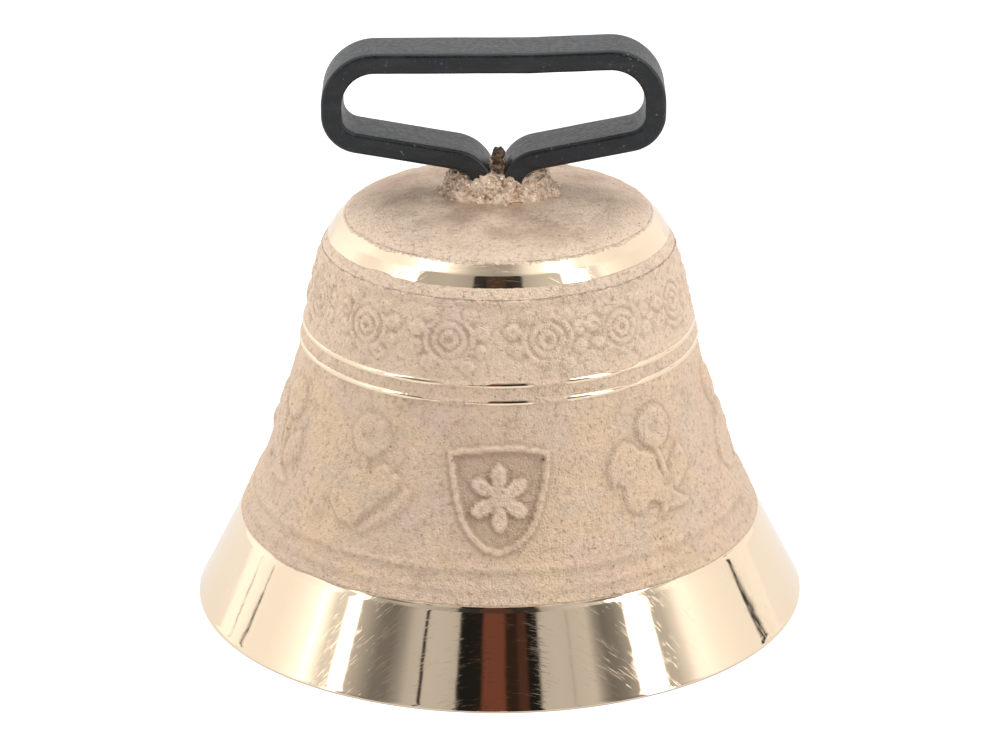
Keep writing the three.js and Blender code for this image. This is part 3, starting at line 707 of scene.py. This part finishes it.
# Painted shadow: the lip's lowest edge is painted dark, for the shade where it meets the table.
painted_lip_shadow = times(tree, between(tree, low["Z"], 0.55 * MM, 0.15 * MM), 0.75)
polish_and_lip_shadow = mix(tree, painted_lip_shadow, POLISHED, LIP_SHADOW_PAINT)
tree.links.new(mix(tree, bright, raw, polish_and_lip_shadow), shader["Base Color"])
tree.links.new(plus(tree, times(tree, bright, 0.22), 0.78), shader["Metallic"])
raw_rough = less(tree, 0.58, times(tree, grain["Glints"], 0.25))
bright_rough = plus(tree, 0.045, times(tree, marks, 0.30))
rough = node(tree, "ShaderNodeMix", {0: bright, 2: raw_rough, 3: bright_rough}).outputs[0]
tree.links.new(rough, shader["Roughness"])
squashed = node(tree, "ShaderNodeMapping", {"Vector": here, "Scale": (1, 1, 1.6)}).outputs[0]
ripple = noise_at(tree, squashed, 130.0, 1.0)
turning = node(tree, "ShaderNodeMapping", {"Vector": here, "Scale": (0.02, 0.02, 1)}).outputs[0]
turning = noise_at(tree, turning, 5200.0, 2.0)
raw_share = less(tree, 1.0, bright)
grain_bump = times(tree, grain["Height"], raw_share)
smooth = relief(tree, times(tree, ripple, bright), 0.018 * MM)
smooth = relief(tree, times(tree, turning, bright), 0.0022 * MM, under=smooth)
scored = relief(tree, times(tree, marks, bright), 0.004 * MM, under=smooth)
tree.links.new(relief(tree, grain_bump, 0.60 * MM, under=scored), shader["Normal"])
bell_mesh.materials.append(bronze)
bell = bpy.data.objects.new("bell_casting", bell_mesh)
scene.collection.objects.link(bell)
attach(bell, "bell")
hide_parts("bell_body")

# ---------------------------------------------------------------- strap handle
# One length of flat steel bar, 12 by 4 mm with rounded edges, bent hot to a flat loop. Its two
# ends go side by side down through the crown, where they are spread to a fork and drilled for
# the hanger bolt. Forging scale and oil leave it blue-black, and belts have rubbed it.
BAR_WIDTH, BAR_THICKNESS, BAR_EDGE = 12.0, 4.0, 0.8
TANG_OFFSET, EAR_OFFSET, EAR_END, TOP_BAR = 2.35, 8.0, 58.5, 110.15
BOLT_HEIGHT, BOLT_HOLE = 63.5, 2.8
STRAP_ROUTE = [
    (-EAR_OFFSET, EAR_END, 0), (-EAR_OFFSET, 70.3, 4), (-TANG_OFFSET, 76.5, 4), (-TANG_OFFSET, 90, 7),
    (-31.75, 95.2, 5.5), (-31.75, TOP_BAR, 8.4), (6, TOP_BAR, 30), (30.1, TOP_BAR + 0.9, 8.6),
    (30.1, 95.4, 5.5), (TANG_OFFSET, 89.9, 6), (TANG_OFFSET, 76.5, 4), (EAR_OFFSET, 70.3, 4),
    (EAR_OFFSET, EAR_END, 0),
]
STEP_ALONG, STEP_ROUND = 2.5, math.radians(5)


def bar_section(bm, thickness, width, edge, rounding=4, cuts=3):
    """The bar's flat section with rounded corners, thickness along X and width along Y."""
    made = bmesh.ops.create_grid(bm, x_segments=1, y_segments=1, size=0.5)["verts"]
    bmesh.ops.scale(bm, vec=(thickness * MM, width * MM, 1), verts=made)
    if edge:
        bmesh.ops.bevel(bm, geom=made, offset=edge * MM, affect="VERTICES", segments=rounding,
                        profile=0.5, material=-1)
    long_sides = [e for e in bm.edges if e.calc_length() > 0.5 * width * MM]
    bmesh.ops.subdivide_edges(bm, edges=long_sides, cuts=cuts)
    return bm.faces[:]


def corners_of(faces):
    """The corners of some faces, each once and always in the same order."""
    return list(dict.fromkeys(vert for face in faces for vert in face.verts))


def edges_of(faces):
    """The edges of some faces, each once. Drawn on with its edges, a section leaves nothing inside a bar."""
    return list(dict.fromkeys(edge for face in faces for edge in face.edges))


def go_straight(bm, end, way, length):
    """Draws a bar on from the faces of its end, and returns its new end."""
    steps = max(1, round(length / STEP_ALONG))
    for _ in range(steps):
        grown = bmesh.ops.extrude_face_region(bm, geom=[*end, *edges_of(end)])["geom"]
        end = [item for item in grown if isinstance(item, bmesh.types.BMFace)]
        bmesh.ops.translate(bm, verts=corners_of(end), vec=way * (length * MM / steps))
    return end


def go_round(bm, end, centre, turn):
    """Bends a bar on from its end about a centre in the XZ plane, and returns its new end."""
    steps = max(2, math.ceil(abs(turn) / STEP_ROUND))
    last = bmesh.ops.spin(bm, geom=[*end, *edges_of(end), *corners_of(end)], cent=centre, axis=(0, -1, 0),
                          dvec=(0, 0, 0), angle=turn, steps=steps)["geom_last"]
    return [item for item in last if isinstance(item, bmesh.types.BMFace)]


def bent_bar(bm, route, thickness, width, edge):
    """A flat bar bent along a route of (x, z, bend radius) corners in the XZ plane, starting straight up."""
    corners = [Vector((x, z)) for x, z, _ in route]
    end = bar_section(bm, thickness, width, edge)
    bmesh.ops.translate(bm, verts=corners_of(end), vec=(corners[0].x * MM, 0, corners[0].y * MM))
    at = corners[0]
    for i in range(1, len(route) - 1):
        before, after = (corners[i] - corners[i - 1]).normalized(), (corners[i + 1] - corners[i]).normalized()
        turn = math.atan2(before.cross(after), before.dot(after))
        lead = route[i][2] * math.tan(abs(turn) / 2)
        start = corners[i] - before * lead
        end = go_straight(bm, end, Vector((before.x, 0, before.y)), (start - at).length)
        side = math.copysign(route[i][2], turn)
        centre = start + Vector((-before.y, before.x)) * side
        end = go_round(bm, end, (centre.x * MM, 0, centre.y * MM), turn)
        at = corners[i] + after * lead
    last = corners[-1] - at
    go_straight(bm, end, Vector((last.x, 0, last.y)).normalized(), last.length)


def cut_away(piece, cutters):
    """Cuts solids out of a piece for good, and removes them."""
    for cutter in cutters:
        cutting = piece.modifiers.new("cut", "BOOLEAN")
        cutting.object, cutting.operation, cutting.solver = cutter, "DIFFERENCE", "EXACT"
    bpy.context.view_layer.update()
    whole = piece.evaluated_get(bpy.context.evaluated_depsgraph_get())
    cut_mesh = bpy.data.meshes.new_from_object(whole)
    piece.modifiers.clear()
    piece.data = cut_mesh
    cut_mesh.name = piece.name
    for cutter in cutters:
        bpy.data.objects.remove(cutter)


def cutter_bar(radius, height, half_length, sides=48):
    """A round bar along X, to cut a hole with."""
    bm = bmesh.new()
    bmesh.ops.create_cone(bm, cap_ends=True, segments=sides, radius1=radius * MM, radius2=radius * MM,
                          depth=2 * half_length * MM,
                          matrix=Matrix.Translation((0, 0, height * MM)) @ Matrix.Rotation(math.pi / 2, 4, "Y"))
    return as_piece("cutter", bm, None)


def level_shading(piece):
    """Keeps the broad faces of a piece flat in shade beside its rounded edges."""
    piece.modifiers.new("level_shading", "WEIGHTED_NORMAL").keep_sharp = True


strap_bm = bmesh.new()
bent_bar(strap_bm, STRAP_ROUTE, BAR_THICKNESS, BAR_WIDTH, BAR_EDGE)
for vert in strap_bm.verts:
    spot = vert.co / MM
    if spot.z > 92:
        vert.co += Vector((0, 0.10 * noise.noise(spot / 11), -0.07 * abs(noise.noise(spot / 7)))) * MM
SCALE_BLACK, RUBBED = (0.0040, 0.0048, 0.0062), (0.030, 0.031, 0.031)
OIL_BLUE, WORN_GREY = (0.0045, 0.0075, 0.013), (0.20, 0.195, 0.18)
steel, tree, shader, here = finish_of("black_forged_steel", Specular_IOR_Level=0.5, Metallic=0.0)
scale = place_effect(tree, sand_grain, Vector=here, Grains_per_Metre=1500.0, Pits=0.70)
cloud = noise_at(tree, here, 160.0, 4.0, 0.6)
drawn = node(tree, "ShaderNodeMapping", {"Vector": here, "Scale": (0.25, 1.6, 1.0)}).outputs[0]
streak = patches(tree, drawn, 420.0, 0.46, 0.72)
black = mix(tree, between(tree, cloud, 0.40, 0.70), SCALE_BLACK, OIL_BLUE)
black = mix(tree, times(tree, streak, 0.5), black, RUBBED)
fleck = times(tree, patches(tree, here, 1300.0, 0.62, 0.72, 2.0, 0.7),
              patches(tree, here, 120.0, 0.45, 0.65, 2.0))
black = mix(tree, times(tree, fleck, 0.75), black, WORN_GREY)
grit = noise_at(tree, here, 1000.0, 4.0, 0.75)
black = mix(tree, times(tree, between(tree, grit, 0.50, 0.66), 0.45), black, RUBBED)
tree.links.new(black, shader["Base Color"])
tree.links.new(plus(tree, 0.34, times(tree, between(tree, grit, 0.36, 0.64), 0.14)), shader["Roughness"])
uneven = relief(tree, cloud, 0.12 * MM)
tree.links.new(relief(tree, scale["Height"], 0.05 * MM, under=uneven), shader["Normal"])
strap = as_piece("strap_bar", strap_bm, steel)
cut_away(strap, [cutter_bar(BOLT_HOLE, BOLT_HEIGHT, 20)])
level_shading(strap)
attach(strap, "bell")
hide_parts("strap_handle")

# ---------------------------------------------------------------- poured root
# Bronze poured round the foot of the strap when the crown was cast, left as rough as it set:
# a low granular mound on the crown, and one brown bead that ran up between the two tangs.
ROOT_FOOT, ROOT_TOP, ROOT_HALF_Y = 82.6, 88.8, 0.72
ROOT_LINE = [(0.03, ROOT_TOP), (5.0, 88.7), (8.4, 88.0), (9.9, 86.6), (10.7, 85.0), (11.4, 83.8), (12.4, 82.9)]
ROOT_STEPS = 260
root_bm = bmesh.new()
spun(root_bm, [*curve_through(ROOT_LINE, 12), (6.0, ROOT_FOOT), (0.03, ROOT_FOOT)], ROOT_STEPS)
bmesh.ops.holes_fill(root_bm, edges=[e for e in root_bm.edges if e.is_boundary], sides=ROOT_STEPS + 4)
for vert in root_bm.verts:
    spot = vert.co / MM
    ragged = (1 + 0.13 * noise.noise(Vector((spot.x, spot.y, 40)) / 3.1)
              + 0.07 * noise.noise(Vector((spot.x, spot.y, 9)) / 1.1))
    spot = Vector((spot.x * ragged, spot.y * ROOT_HALF_Y * ragged, spot.z))
    if spot.z > ROOT_FOOT + 0.05:
        away = Vector((spot.x, spot.y, max(0.0, spot.z - 84.0) * 1.6)).normalized()
        lumps = 0.75 * noise.noise(spot / 3.2) + 0.5 * noise.noise(spot / 1.2) + 0.42 * noise.noise(spot / 0.6)
        spot += away * (lumps - 0.25) + Vector((0, 0, 0.35 * noise.noise(spot / 0.8)))
        spot.z = min(spot.z, 90.0)
    vert.co = spot * MM
CRUST_TAN, CRUST_LIGHT, CRUST_SHADE = (0.76, 0.585, 0.43), (0.95, 0.80, 0.66), (0.32, 0.215, 0.14)
rough_bronze, tree, shader, here = finish_of("poured_bronze", Specular_IOR_Level=0.5)
grain = place_effect(tree, sand_grain, Vector=here, Grains_per_Metre=2200.0, Pits=0.66)
mottle = patches(tree, here, 900.0, 0.40, 0.64, 4.0, 0.7)
crust = mix(tree, mottle, CRUST_TAN, CRUST_LIGHT)
brown = patches(tree, here, 1300.0, 0.55, 0.68, 3.0, 0.65)
crust = mix(tree, times(tree, brown, 0.5), crust, CRUST_SHADE)
crust = mix(tree, times(tree, grain["Pits"], 0.7), crust, CRUST_SHADE)
tree.links.new(crust, shader["Base Color"])
shader["Metallic"].default_value = 0.7
tree.links.new(less(tree, 0.60, times(tree, grain["Glints"], 0.35)), shader["Roughness"])
tree.links.new(relief(tree, grain["Height"], 0.6 * MM), shader["Normal"])
root = as_piece("poured_root", root_bm, rough_bronze, sharp=180)
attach(root, "bell")
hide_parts("root_crust")

BEAD_PLACES = [(-0.1, -5.0, 89.2, 0.9), (0.1, -4.3, 90.0, 0.95), (-0.1, -2.8, 90.6, 1.15),
               (0.2, -1.0, 90.7, 1.15), (0.0, 0.8, 90.2, 1.1)]
RUST_DARK, RUST_LIGHT = (0.060, 0.036, 0.024), (0.30, 0.19, 0.12)
rust, tree, shader, here = finish_of("burnt_bronze", Specular_IOR_Level=0.3, Metallic=0.2, Roughness=0.8)
spots = noise_at(tree, here, 900.0, 4.0, 0.7)
tree.links.new(mix(tree, between(tree, spots, 0.4, 0.62), RUST_DARK, RUST_LIGHT), shader["Base Color"])
tree.links.new(relief(tree, spots, 0.5 * MM), shader["Normal"])
bead_bm = bmesh.new()
for x, y, z, radius in BEAD_PLACES:
    made = bmesh.ops.create_icosphere(bead_bm, subdivisions=4, radius=radius * MM,
                                      matrix=Matrix.Translation((x * MM, y * MM, z * MM)))["verts"]
    for vert in made:
        out = (vert.co - Vector((x, y, z)) * MM).normalized()
        spot = vert.co / MM
        vert.co += out * (0.5 * noise.noise(spot / 0.9) + 0.25 * noise.noise(spot / 0.4)) * MM
bead = as_piece("root_bead", bead_bm, rust, sharp=180)
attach(bead, "bell")

# ---------------------------------------------------------------- clapper hanger
# A zinc-plated M5 bolt through the fork's ears, with a washer under its head and another under
# its nut. Between the ears it carries a turned brass bush that the baldrick swings on.
EAR_FACE, GAP = EAR_OFFSET + BAR_THICKNESS / 2, 0.3
BOLT_RADIUS, HEX_ACROSS, HEAD_DEPTH, NUT_DEPTH = 2.5, 8.0, 3.5, 4.0
WASHER_RADIUS, WASHER_DEPTH, BUSH_RADIUS = 5.0, 1.0, 4.0
THREAD_PITCH, THREAD_DEPTH = 0.8, 0.35
HEAD_FROM = EAR_FACE + GAP + WASHER_DEPTH + GAP
BOLT_END = HEAD_FROM + NUT_DEPTH + 2.0
ALONG_X = Matrix.Translation((0, 0, BOLT_HEIGHT * MM)) @ Matrix.Rotation(math.pi / 2, 4, "Y")


def zinc_finish(name, base, tint, roughness, metallic=1.0):
    """A small turned or plated part: a metal with cloudy patches, fine marks and dark spots."""
    made, tree, shader, here = finish_of(name, Metallic=metallic)
    cloud = noise_at(tree, here, 350.0, 4.0, 0.6)
    colour = mix(tree, between(tree, cloud, 0.38, 0.66), base, tint)
    marks = place_effect(tree, scratches, Vector=here, Length=90.0, Amount=0.6)["Mask"]
    spots = patches(tree, here, 1700.0, 0.68, 0.76, 2.0)
    colour = mix(tree, times(tree, spots, 0.6), colour, tuple(v * 0.3 for v in base))
    tree.links.new(colour, shader["Base Color"])
    marked = plus(tree, times(tree, marks, 0.2), roughness - 0.1)
    tree.links.new(plus(tree, times(tree, cloud, 0.2), marked), shader["Roughness"])
    tree.links.new(relief(tree, cloud, 0.05 * MM), shader["Normal"])
    return made


def turned_along_x(name, line, material, matrix=ALONG_X, steps=64, closed=False, sharp=30):
    """A part turned from a line of (radius, place along the axis) points, laid along the bolt."""
    bm = bmesh.new()
    spun(bm, line, steps, closed=closed)
    bmesh.ops.remove_doubles(bm, verts=bm.verts, dist=WELD)
    bmesh.ops.transform(bm, matrix=matrix, verts=bm.verts)
    return as_piece(name, bm, material, sharp)


def hexagon_part(bm, depth, start):
    """A hexagon along Z, with its corners turned down to a chamfer."""
    radius = HEX_ACROSS / math.sqrt(3) * MM
    made = bmesh.ops.create_cone(
        bm, cap_ends=True, segments=6, radius1=radius, radius2=radius, depth=depth * MM,
        matrix=Matrix.Translation((0, 0, (start + depth / 2) * MM)))["verts"]
    rims = dict.fromkeys(e for v in made for e in v.link_edges if abs(e.verts[0].co.z - e.verts[1].co.z) < 1e-6)
    bmesh.ops.bevel(bm, geom=list(rims), offset=0.45 * MM, affect="EDGES", segments=3, profile=0.6, material=-1)


zinc = zinc_finish("zinc_plated_steel", (0.46, 0.47, 0.48), (0.62, 0.62, 0.60), 0.34)
threads = [(BOLT_RADIUS - THREAD_DEPTH * (k % 2), -BOLT_END + 0.5 + k * THREAD_PITCH / 2) for k in range(18)]
shank_line = [(0.0, -BOLT_END), (BOLT_RADIUS - 0.6, -BOLT_END), *threads, (BOLT_RADIUS, -8.0),
              (BOLT_RADIUS, HEAD_FROM + 0.5), (0.0, HEAD_FROM + 0.5)]
bolt_bm = bmesh.new()
spun(bolt_bm, shank_line, 48)
bmesh.ops.remove_doubles(bolt_bm, verts=bolt_bm.verts, dist=WELD)
hexagon_part(bolt_bm, HEAD_DEPTH, HEAD_FROM)
bmesh.ops.transform(bolt_bm, matrix=ALONG_X @ Matrix.Rotation(math.pi, 4, "Y"), verts=bolt_bm.verts)
bolt = as_piece("fork_bolt", bolt_bm, zinc, 30)
nut_bm = bmesh.new()
hexagon_part(nut_bm, NUT_DEPTH, HEAD_FROM)
bmesh.ops.transform(nut_bm, matrix=ALONG_X, verts=nut_bm.verts)
nut = as_piece("fork_nut", nut_bm, zinc, 30)
cut_away(nut, [cutter_bar(BOLT_RADIUS + 0.12, BOLT_HEIGHT, 20)])


def washer_line(inner, outer, start, depth, edge=0.15):
    """The section of a flat ring with broken outer edges."""
    return [(inner, start), (outer - edge, start), (outer, start + edge), (outer, start + depth - edge),
            (outer - edge, start + depth), (inner, start + depth)]


BORE = BOLT_RADIUS + GAP
head_washer, nut_washer = (
    turned_along_x(name, washer_line(BORE, WASHER_RADIUS, start, WASHER_DEPTH), zinc, closed=True)
    for name, start in (
        ("washer_under_head", -EAR_FACE - GAP - WASHER_DEPTH), ("washer_under_nut", EAR_FACE + GAP)))
brass = zinc_finish("turned_brass", (0.60, 0.42, 0.17), (0.46, 0.30, 0.12), 0.32)
bush_half = EAR_OFFSET - BAR_THICKNESS / 2 - GAP
bush = turned_along_x(
    "baldrick_bush", washer_line(BORE, BUSH_RADIUS, -bush_half, 2 * bush_half, 0.35), brass, closed=True)
for piece, node_name, slot_name in (
        (bolt, "hanger_bolt", "zinc_steel"), (nut, "hanger_nut", "zinc_steel"),
        (head_washer, "bolt_head_washer", "zinc_steel"), (nut_washer, "nut_washer", "zinc_steel"),
        (bush, "hanger_bush", "bush_brass")):
    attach(piece, "bell")
    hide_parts(node_name)

# ---------------------------------------------------------------- baldrick
# A strip of thick vegetable-tanned leather, folded round the bush above and round the clapper's
# eye below. A copper rivet pinches its two layers together and is peened over a burr.
LEATHER_WIDTH, LEATHER_THICKNESS, WAIST_HALF = 9.0, 2.4, 1.3
EYE_HEIGHT, BUSH_FOLD, EYE_FOLD, WAIST_BEND = 46.0, 5.5, 3.9, 2.2
leather_bm = bmesh.new()
start = bar_section(leather_bm, LEATHER_THICKNESS, LEATHER_WIDTH, 0.45, 3, 5)
top_turn = math.acos((WAIST_HALF + WAIST_BEND) / (WAIST_BEND + BUSH_FOLD))
eye_turn = math.acos((WAIST_HALF + WAIST_BEND) / (WAIST_BEND + EYE_FOLD))
waist_top = BOLT_HEIGHT - (WAIST_BEND + BUSH_FOLD) * math.sin(top_turn)
waist_foot = EYE_HEIGHT + (WAIST_BEND + EYE_FOLD) * math.sin(eye_turn)
bmesh.ops.translate(leather_bm, verts=corners_of(start), vec=(-WAIST_HALF * MM, 0, waist_foot * MM))
STEP_ALONG = 0.8
UP = Vector((0, 0, 1))
bend_x = (WAIST_HALF + WAIST_BEND) * MM
end = go_straight(leather_bm, start, UP, waist_top - waist_foot)
end = go_round(leather_bm, end, (-bend_x, 0, waist_top * MM), top_turn)
end = go_round(leather_bm, end, (0, 0, BOLT_HEIGHT * MM), -math.pi - 2 * top_turn)
end = go_round(leather_bm, end, (bend_x, 0, waist_top * MM), top_turn)
end = go_straight(leather_bm, end, -UP, waist_top - waist_foot)
end = go_round(leather_bm, end, (bend_x, 0, waist_foot * MM), eye_turn)
end = go_round(leather_bm, end, (0, 0, EYE_HEIGHT * MM), -math.pi - 2 * eye_turn)
end = go_round(leather_bm, end, (-bend_x, 0, waist_foot * MM), eye_turn)
bmesh.ops.delete(leather_bm, geom=[*end, *start], context="FACES_KEEP_BOUNDARY")
bmesh.ops.remove_doubles(leather_bm, verts=leather_bm.verts, dist=JOIN_WELD)
bmesh.ops.rotate(leather_bm, verts=leather_bm.verts, cent=(0, 0, 0),
                 matrix=Matrix.Rotation(math.pi / 2, 3, "Z"))
for vert in leather_bm.verts:
    spot = vert.co / MM
    vert.co += Vector((0.10 * noise.noise(spot / 3), 0.12 * noise.noise(spot / 2.6 + UP * 9), 0)) * MM
HIDE, HIDE_DARK = (0.150, 0.062, 0.027), (0.070, 0.028, 0.013)
HIDE_EDGE, HIDE_DRY = (0.045, 0.019, 0.010), (0.24, 0.125, 0.062)
hide, tree, shader, here = finish_of("tanned_leather", Specular_IOR_Level=0.35)
wide = node(tree, "ShaderNodeSeparateXYZ", {0: here}).outputs["X"]
cells = node(tree, "ShaderNodeTexVoronoi", {"Vector": here, "Scale": 1500.0},
             feature="DISTANCE_TO_EDGE").outputs["Distance"]
stretched = node(tree, "ShaderNodeMapping", {"Vector": here, "Scale": (0.35, 1, 1.4)}).outputs[0]
crease = noise_at(tree, stretched, 500.0, 4.0, 0.6)
colour = mix(tree, patches(tree, here, 150.0, 0.38, 0.64), HIDE, HIDE_DARK)
colour = mix(tree, times(tree, between(tree, crease, 0.55, 0.72), 0.6), colour, HIDE_DRY)
edge_share = between(tree, maths(tree, "ABSOLUTE", wide), 4.1 * MM, 4.42 * MM)
tree.links.new(mix(tree, edge_share, colour, HIDE_EDGE), shader["Base Color"])
tree.links.new(plus(tree, 0.5, times(tree, crease, 0.3)), shader["Roughness"])
pores = relief(tree, between(tree, cells, 0.0, 0.12), 0.05 * MM)
tree.links.new(relief(tree, crease, 0.18 * MM, under=pores), shader["Normal"])
leather = as_piece("leather_strip", leather_bm, hide, 60)
RIVET_HEIGHT, RIVET_RADIUS, RIVET_HEAD = 54.3, 1.5, 2.7
ALONG_Y = Matrix.Translation((0, 0, RIVET_HEIGHT * MM)) @ Matrix.Rotation(-math.pi / 2, 4, "X")
BURR_FROM, BURR_DEPTH = 2.9, 0.8
PEENED = [(RIVET_RADIUS, 0.05), (2.1, 0.1), (2.05, 0.4), (1.5, 0.7), (0.7, 0.85), (0.0, 0.9)]
rivet_line = [(0.0, -4.0), (0.8, -3.95), (1.6, -3.75), (2.2, -3.45), (2.6, -3.1), (RIVET_HEAD, -2.95),
              (RIVET_HEAD - 0.1, -2.8), (RIVET_RADIUS, -2.7),
              *((radius, BURR_FROM + BURR_DEPTH + past) for radius, past in PEENED)]
red_copper = zinc_finish("rivet_copper", (0.60, 0.27, 0.15), (0.36, 0.17, 0.10), 0.36)
rivet = turned_along_x("copper_rivet", rivet_line, red_copper, ALONG_Y, 48)
burr = turned_along_x("copper_burr", washer_line(RIVET_RADIUS + 0.1, RIVET_HEAD, BURR_FROM, BURR_DEPTH, 0.12),
                      red_copper, ALONG_Y, 48, True)
HOLE_RADIUS, HOLE_REACH = RIVET_RADIUS + 0.15, 8.0
hole_line = [(0.0, -HOLE_REACH), (HOLE_RADIUS, -HOLE_REACH), (HOLE_RADIUS, HOLE_REACH), (0.0, HOLE_REACH)]
cut_away(leather, [turned_along_x("rivet_hole", hole_line, None, ALONG_Y, 32)])
for piece, node_name, slot_name in (
        (leather, "leather_baldrick", "leather"), (rivet, "baldrick_rivet", "copper"),
        (burr, "rivet_burr", "copper")):
    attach(piece, "baldrick")
    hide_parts(node_name)

# ---------------------------------------------------------------- clapper
# Wrought-iron clapper: a shank forged to a stirrup-shaped eye, and a ball that is bored, slid
# on from below and held by the shank's peened end. The ball's sides shine where they strike.
EYE_BAR, EYE_HALF_X, EYE_JOIN, SHANK_RADIUS = 4.0, 7.3, 42.6, 2.4
BALL_RADIUS, BALL_HEIGHT, BALL_BORE, TAIL_RADIUS, TAIL_END = 10.5, 17.0, 3.3, 3.6, 4.2
EYE_ROUTE = [(-EYE_HALF_X, EYE_JOIN, 0), (-EYE_HALF_X, EYE_HEIGHT, 2.2), (EYE_HALF_X, EYE_HEIGHT, 2.2),
             (EYE_HALF_X, 41.0, 3.2), (3.0, 37.6, 4.0), (-3.0, 37.6, 4.0), (-EYE_HALF_X, 41.0, 3.2),
             (-EYE_HALF_X, EYE_JOIN, 0)]
iron, tree, shader, here = finish_of("forged_iron", Metallic=0.85)
IRON_DARK, IRON_BROWN, IRON_BRIGHT = (0.21, 0.20, 0.19), (0.27, 0.185, 0.13), (0.62, 0.60, 0.57)
cloud = noise_at(tree, here, 220.0, 4.0, 0.65)
colour = mix(tree, between(tree, cloud, 0.46, 0.68), IRON_DARK, IRON_BROWN)
spot = node(tree, "ShaderNodeSeparateXYZ", {0: here}).outputs
to_side = plus(tree, maths(tree, "ABSOLUTE", spot["Y"]), times(tree, cloud, 1.6 * MM))
strike = between(tree, to_side, 10.3 * MM, 11.1 * MM)
colour = mix(tree, strike, colour, IRON_BRIGHT)
tree.links.new(colour, shader["Base Color"])
dull = plus(tree, 0.42, times(tree, cloud, 0.3))
tree.links.new(less(tree, dull, times(tree, strike, 0.25)), shader["Roughness"])
hammered = node(tree, "ShaderNodeTexVoronoi", {"Vector": here, "Scale": 260.0},
                feature="SMOOTH_F1").outputs["Distance"]
tree.links.new(relief(tree, cloud, 0.25 * MM, under=relief(tree, hammered, 0.25 * MM)), shader["Normal"])
shank_bm = bmesh.new()
STEP_ALONG = 1.0
bent_bar(shank_bm, EYE_ROUTE, EYE_BAR, EYE_BAR, 1.2)
ends = [f for f in shank_bm.faces
        if abs(f.calc_center_median().z - EYE_JOIN * MM) < 0.01 * MM and abs(f.normal.z) > 0.9]
bmesh.ops.delete(shank_bm, geom=ends, context="FACES_KEEP_BOUNDARY")
bmesh.ops.remove_doubles(shank_bm, verts=shank_bm.verts, dist=JOIN_WELD)
stem = [(0.0, 39.4), (1.4, 39.3), (2.6, 38.6), (3.3, 37.2), (3.1, 35.6), (2.6, 33.8), (SHANK_RADIUS, 32.0),
        (2.5, 30.5), (BALL_BORE - 0.3, 28.0), (BALL_BORE - 0.3, 6.5), (TAIL_RADIUS - 0.1, 6.3),
        (TAIL_RADIUS, 6.0), (TAIL_RADIUS - 0.15, 5.2), (3.0, 4.5), (1.8, TAIL_END), (0.0, TAIL_END)]
spun(shank_bm, stem, 48)
bmesh.ops.remove_doubles(shank_bm, verts=shank_bm.verts, dist=WELD)
shank = as_piece("forged_shank", shank_bm, iron, 50)
BALL_FACED = 0.6                  # what the lathe took off its two ends
facing = math.acos((BALL_RADIUS - BALL_FACED) / BALL_RADIUS)
arc = [facing + (math.pi - 2 * facing) * k / 40 for k in range(41)]
ball_line = [(BALL_BORE, BALL_HEIGHT - BALL_RADIUS + BALL_FACED),
             *((BALL_RADIUS * math.sin(a), BALL_HEIGHT - BALL_RADIUS * math.cos(a)) for a in arc),
             (BALL_BORE, BALL_HEIGHT + BALL_RADIUS - BALL_FACED)]
ball_bm = bmesh.new()
spun(ball_bm, ball_line, 96, closed=True)
ball = as_piece("bored_ball", ball_bm, iron, 30)
for piece, node_name in ((shank, "clapper_shank"), (ball, "clapper_ball")):
    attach(piece, "clapper")
    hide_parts(node_name)
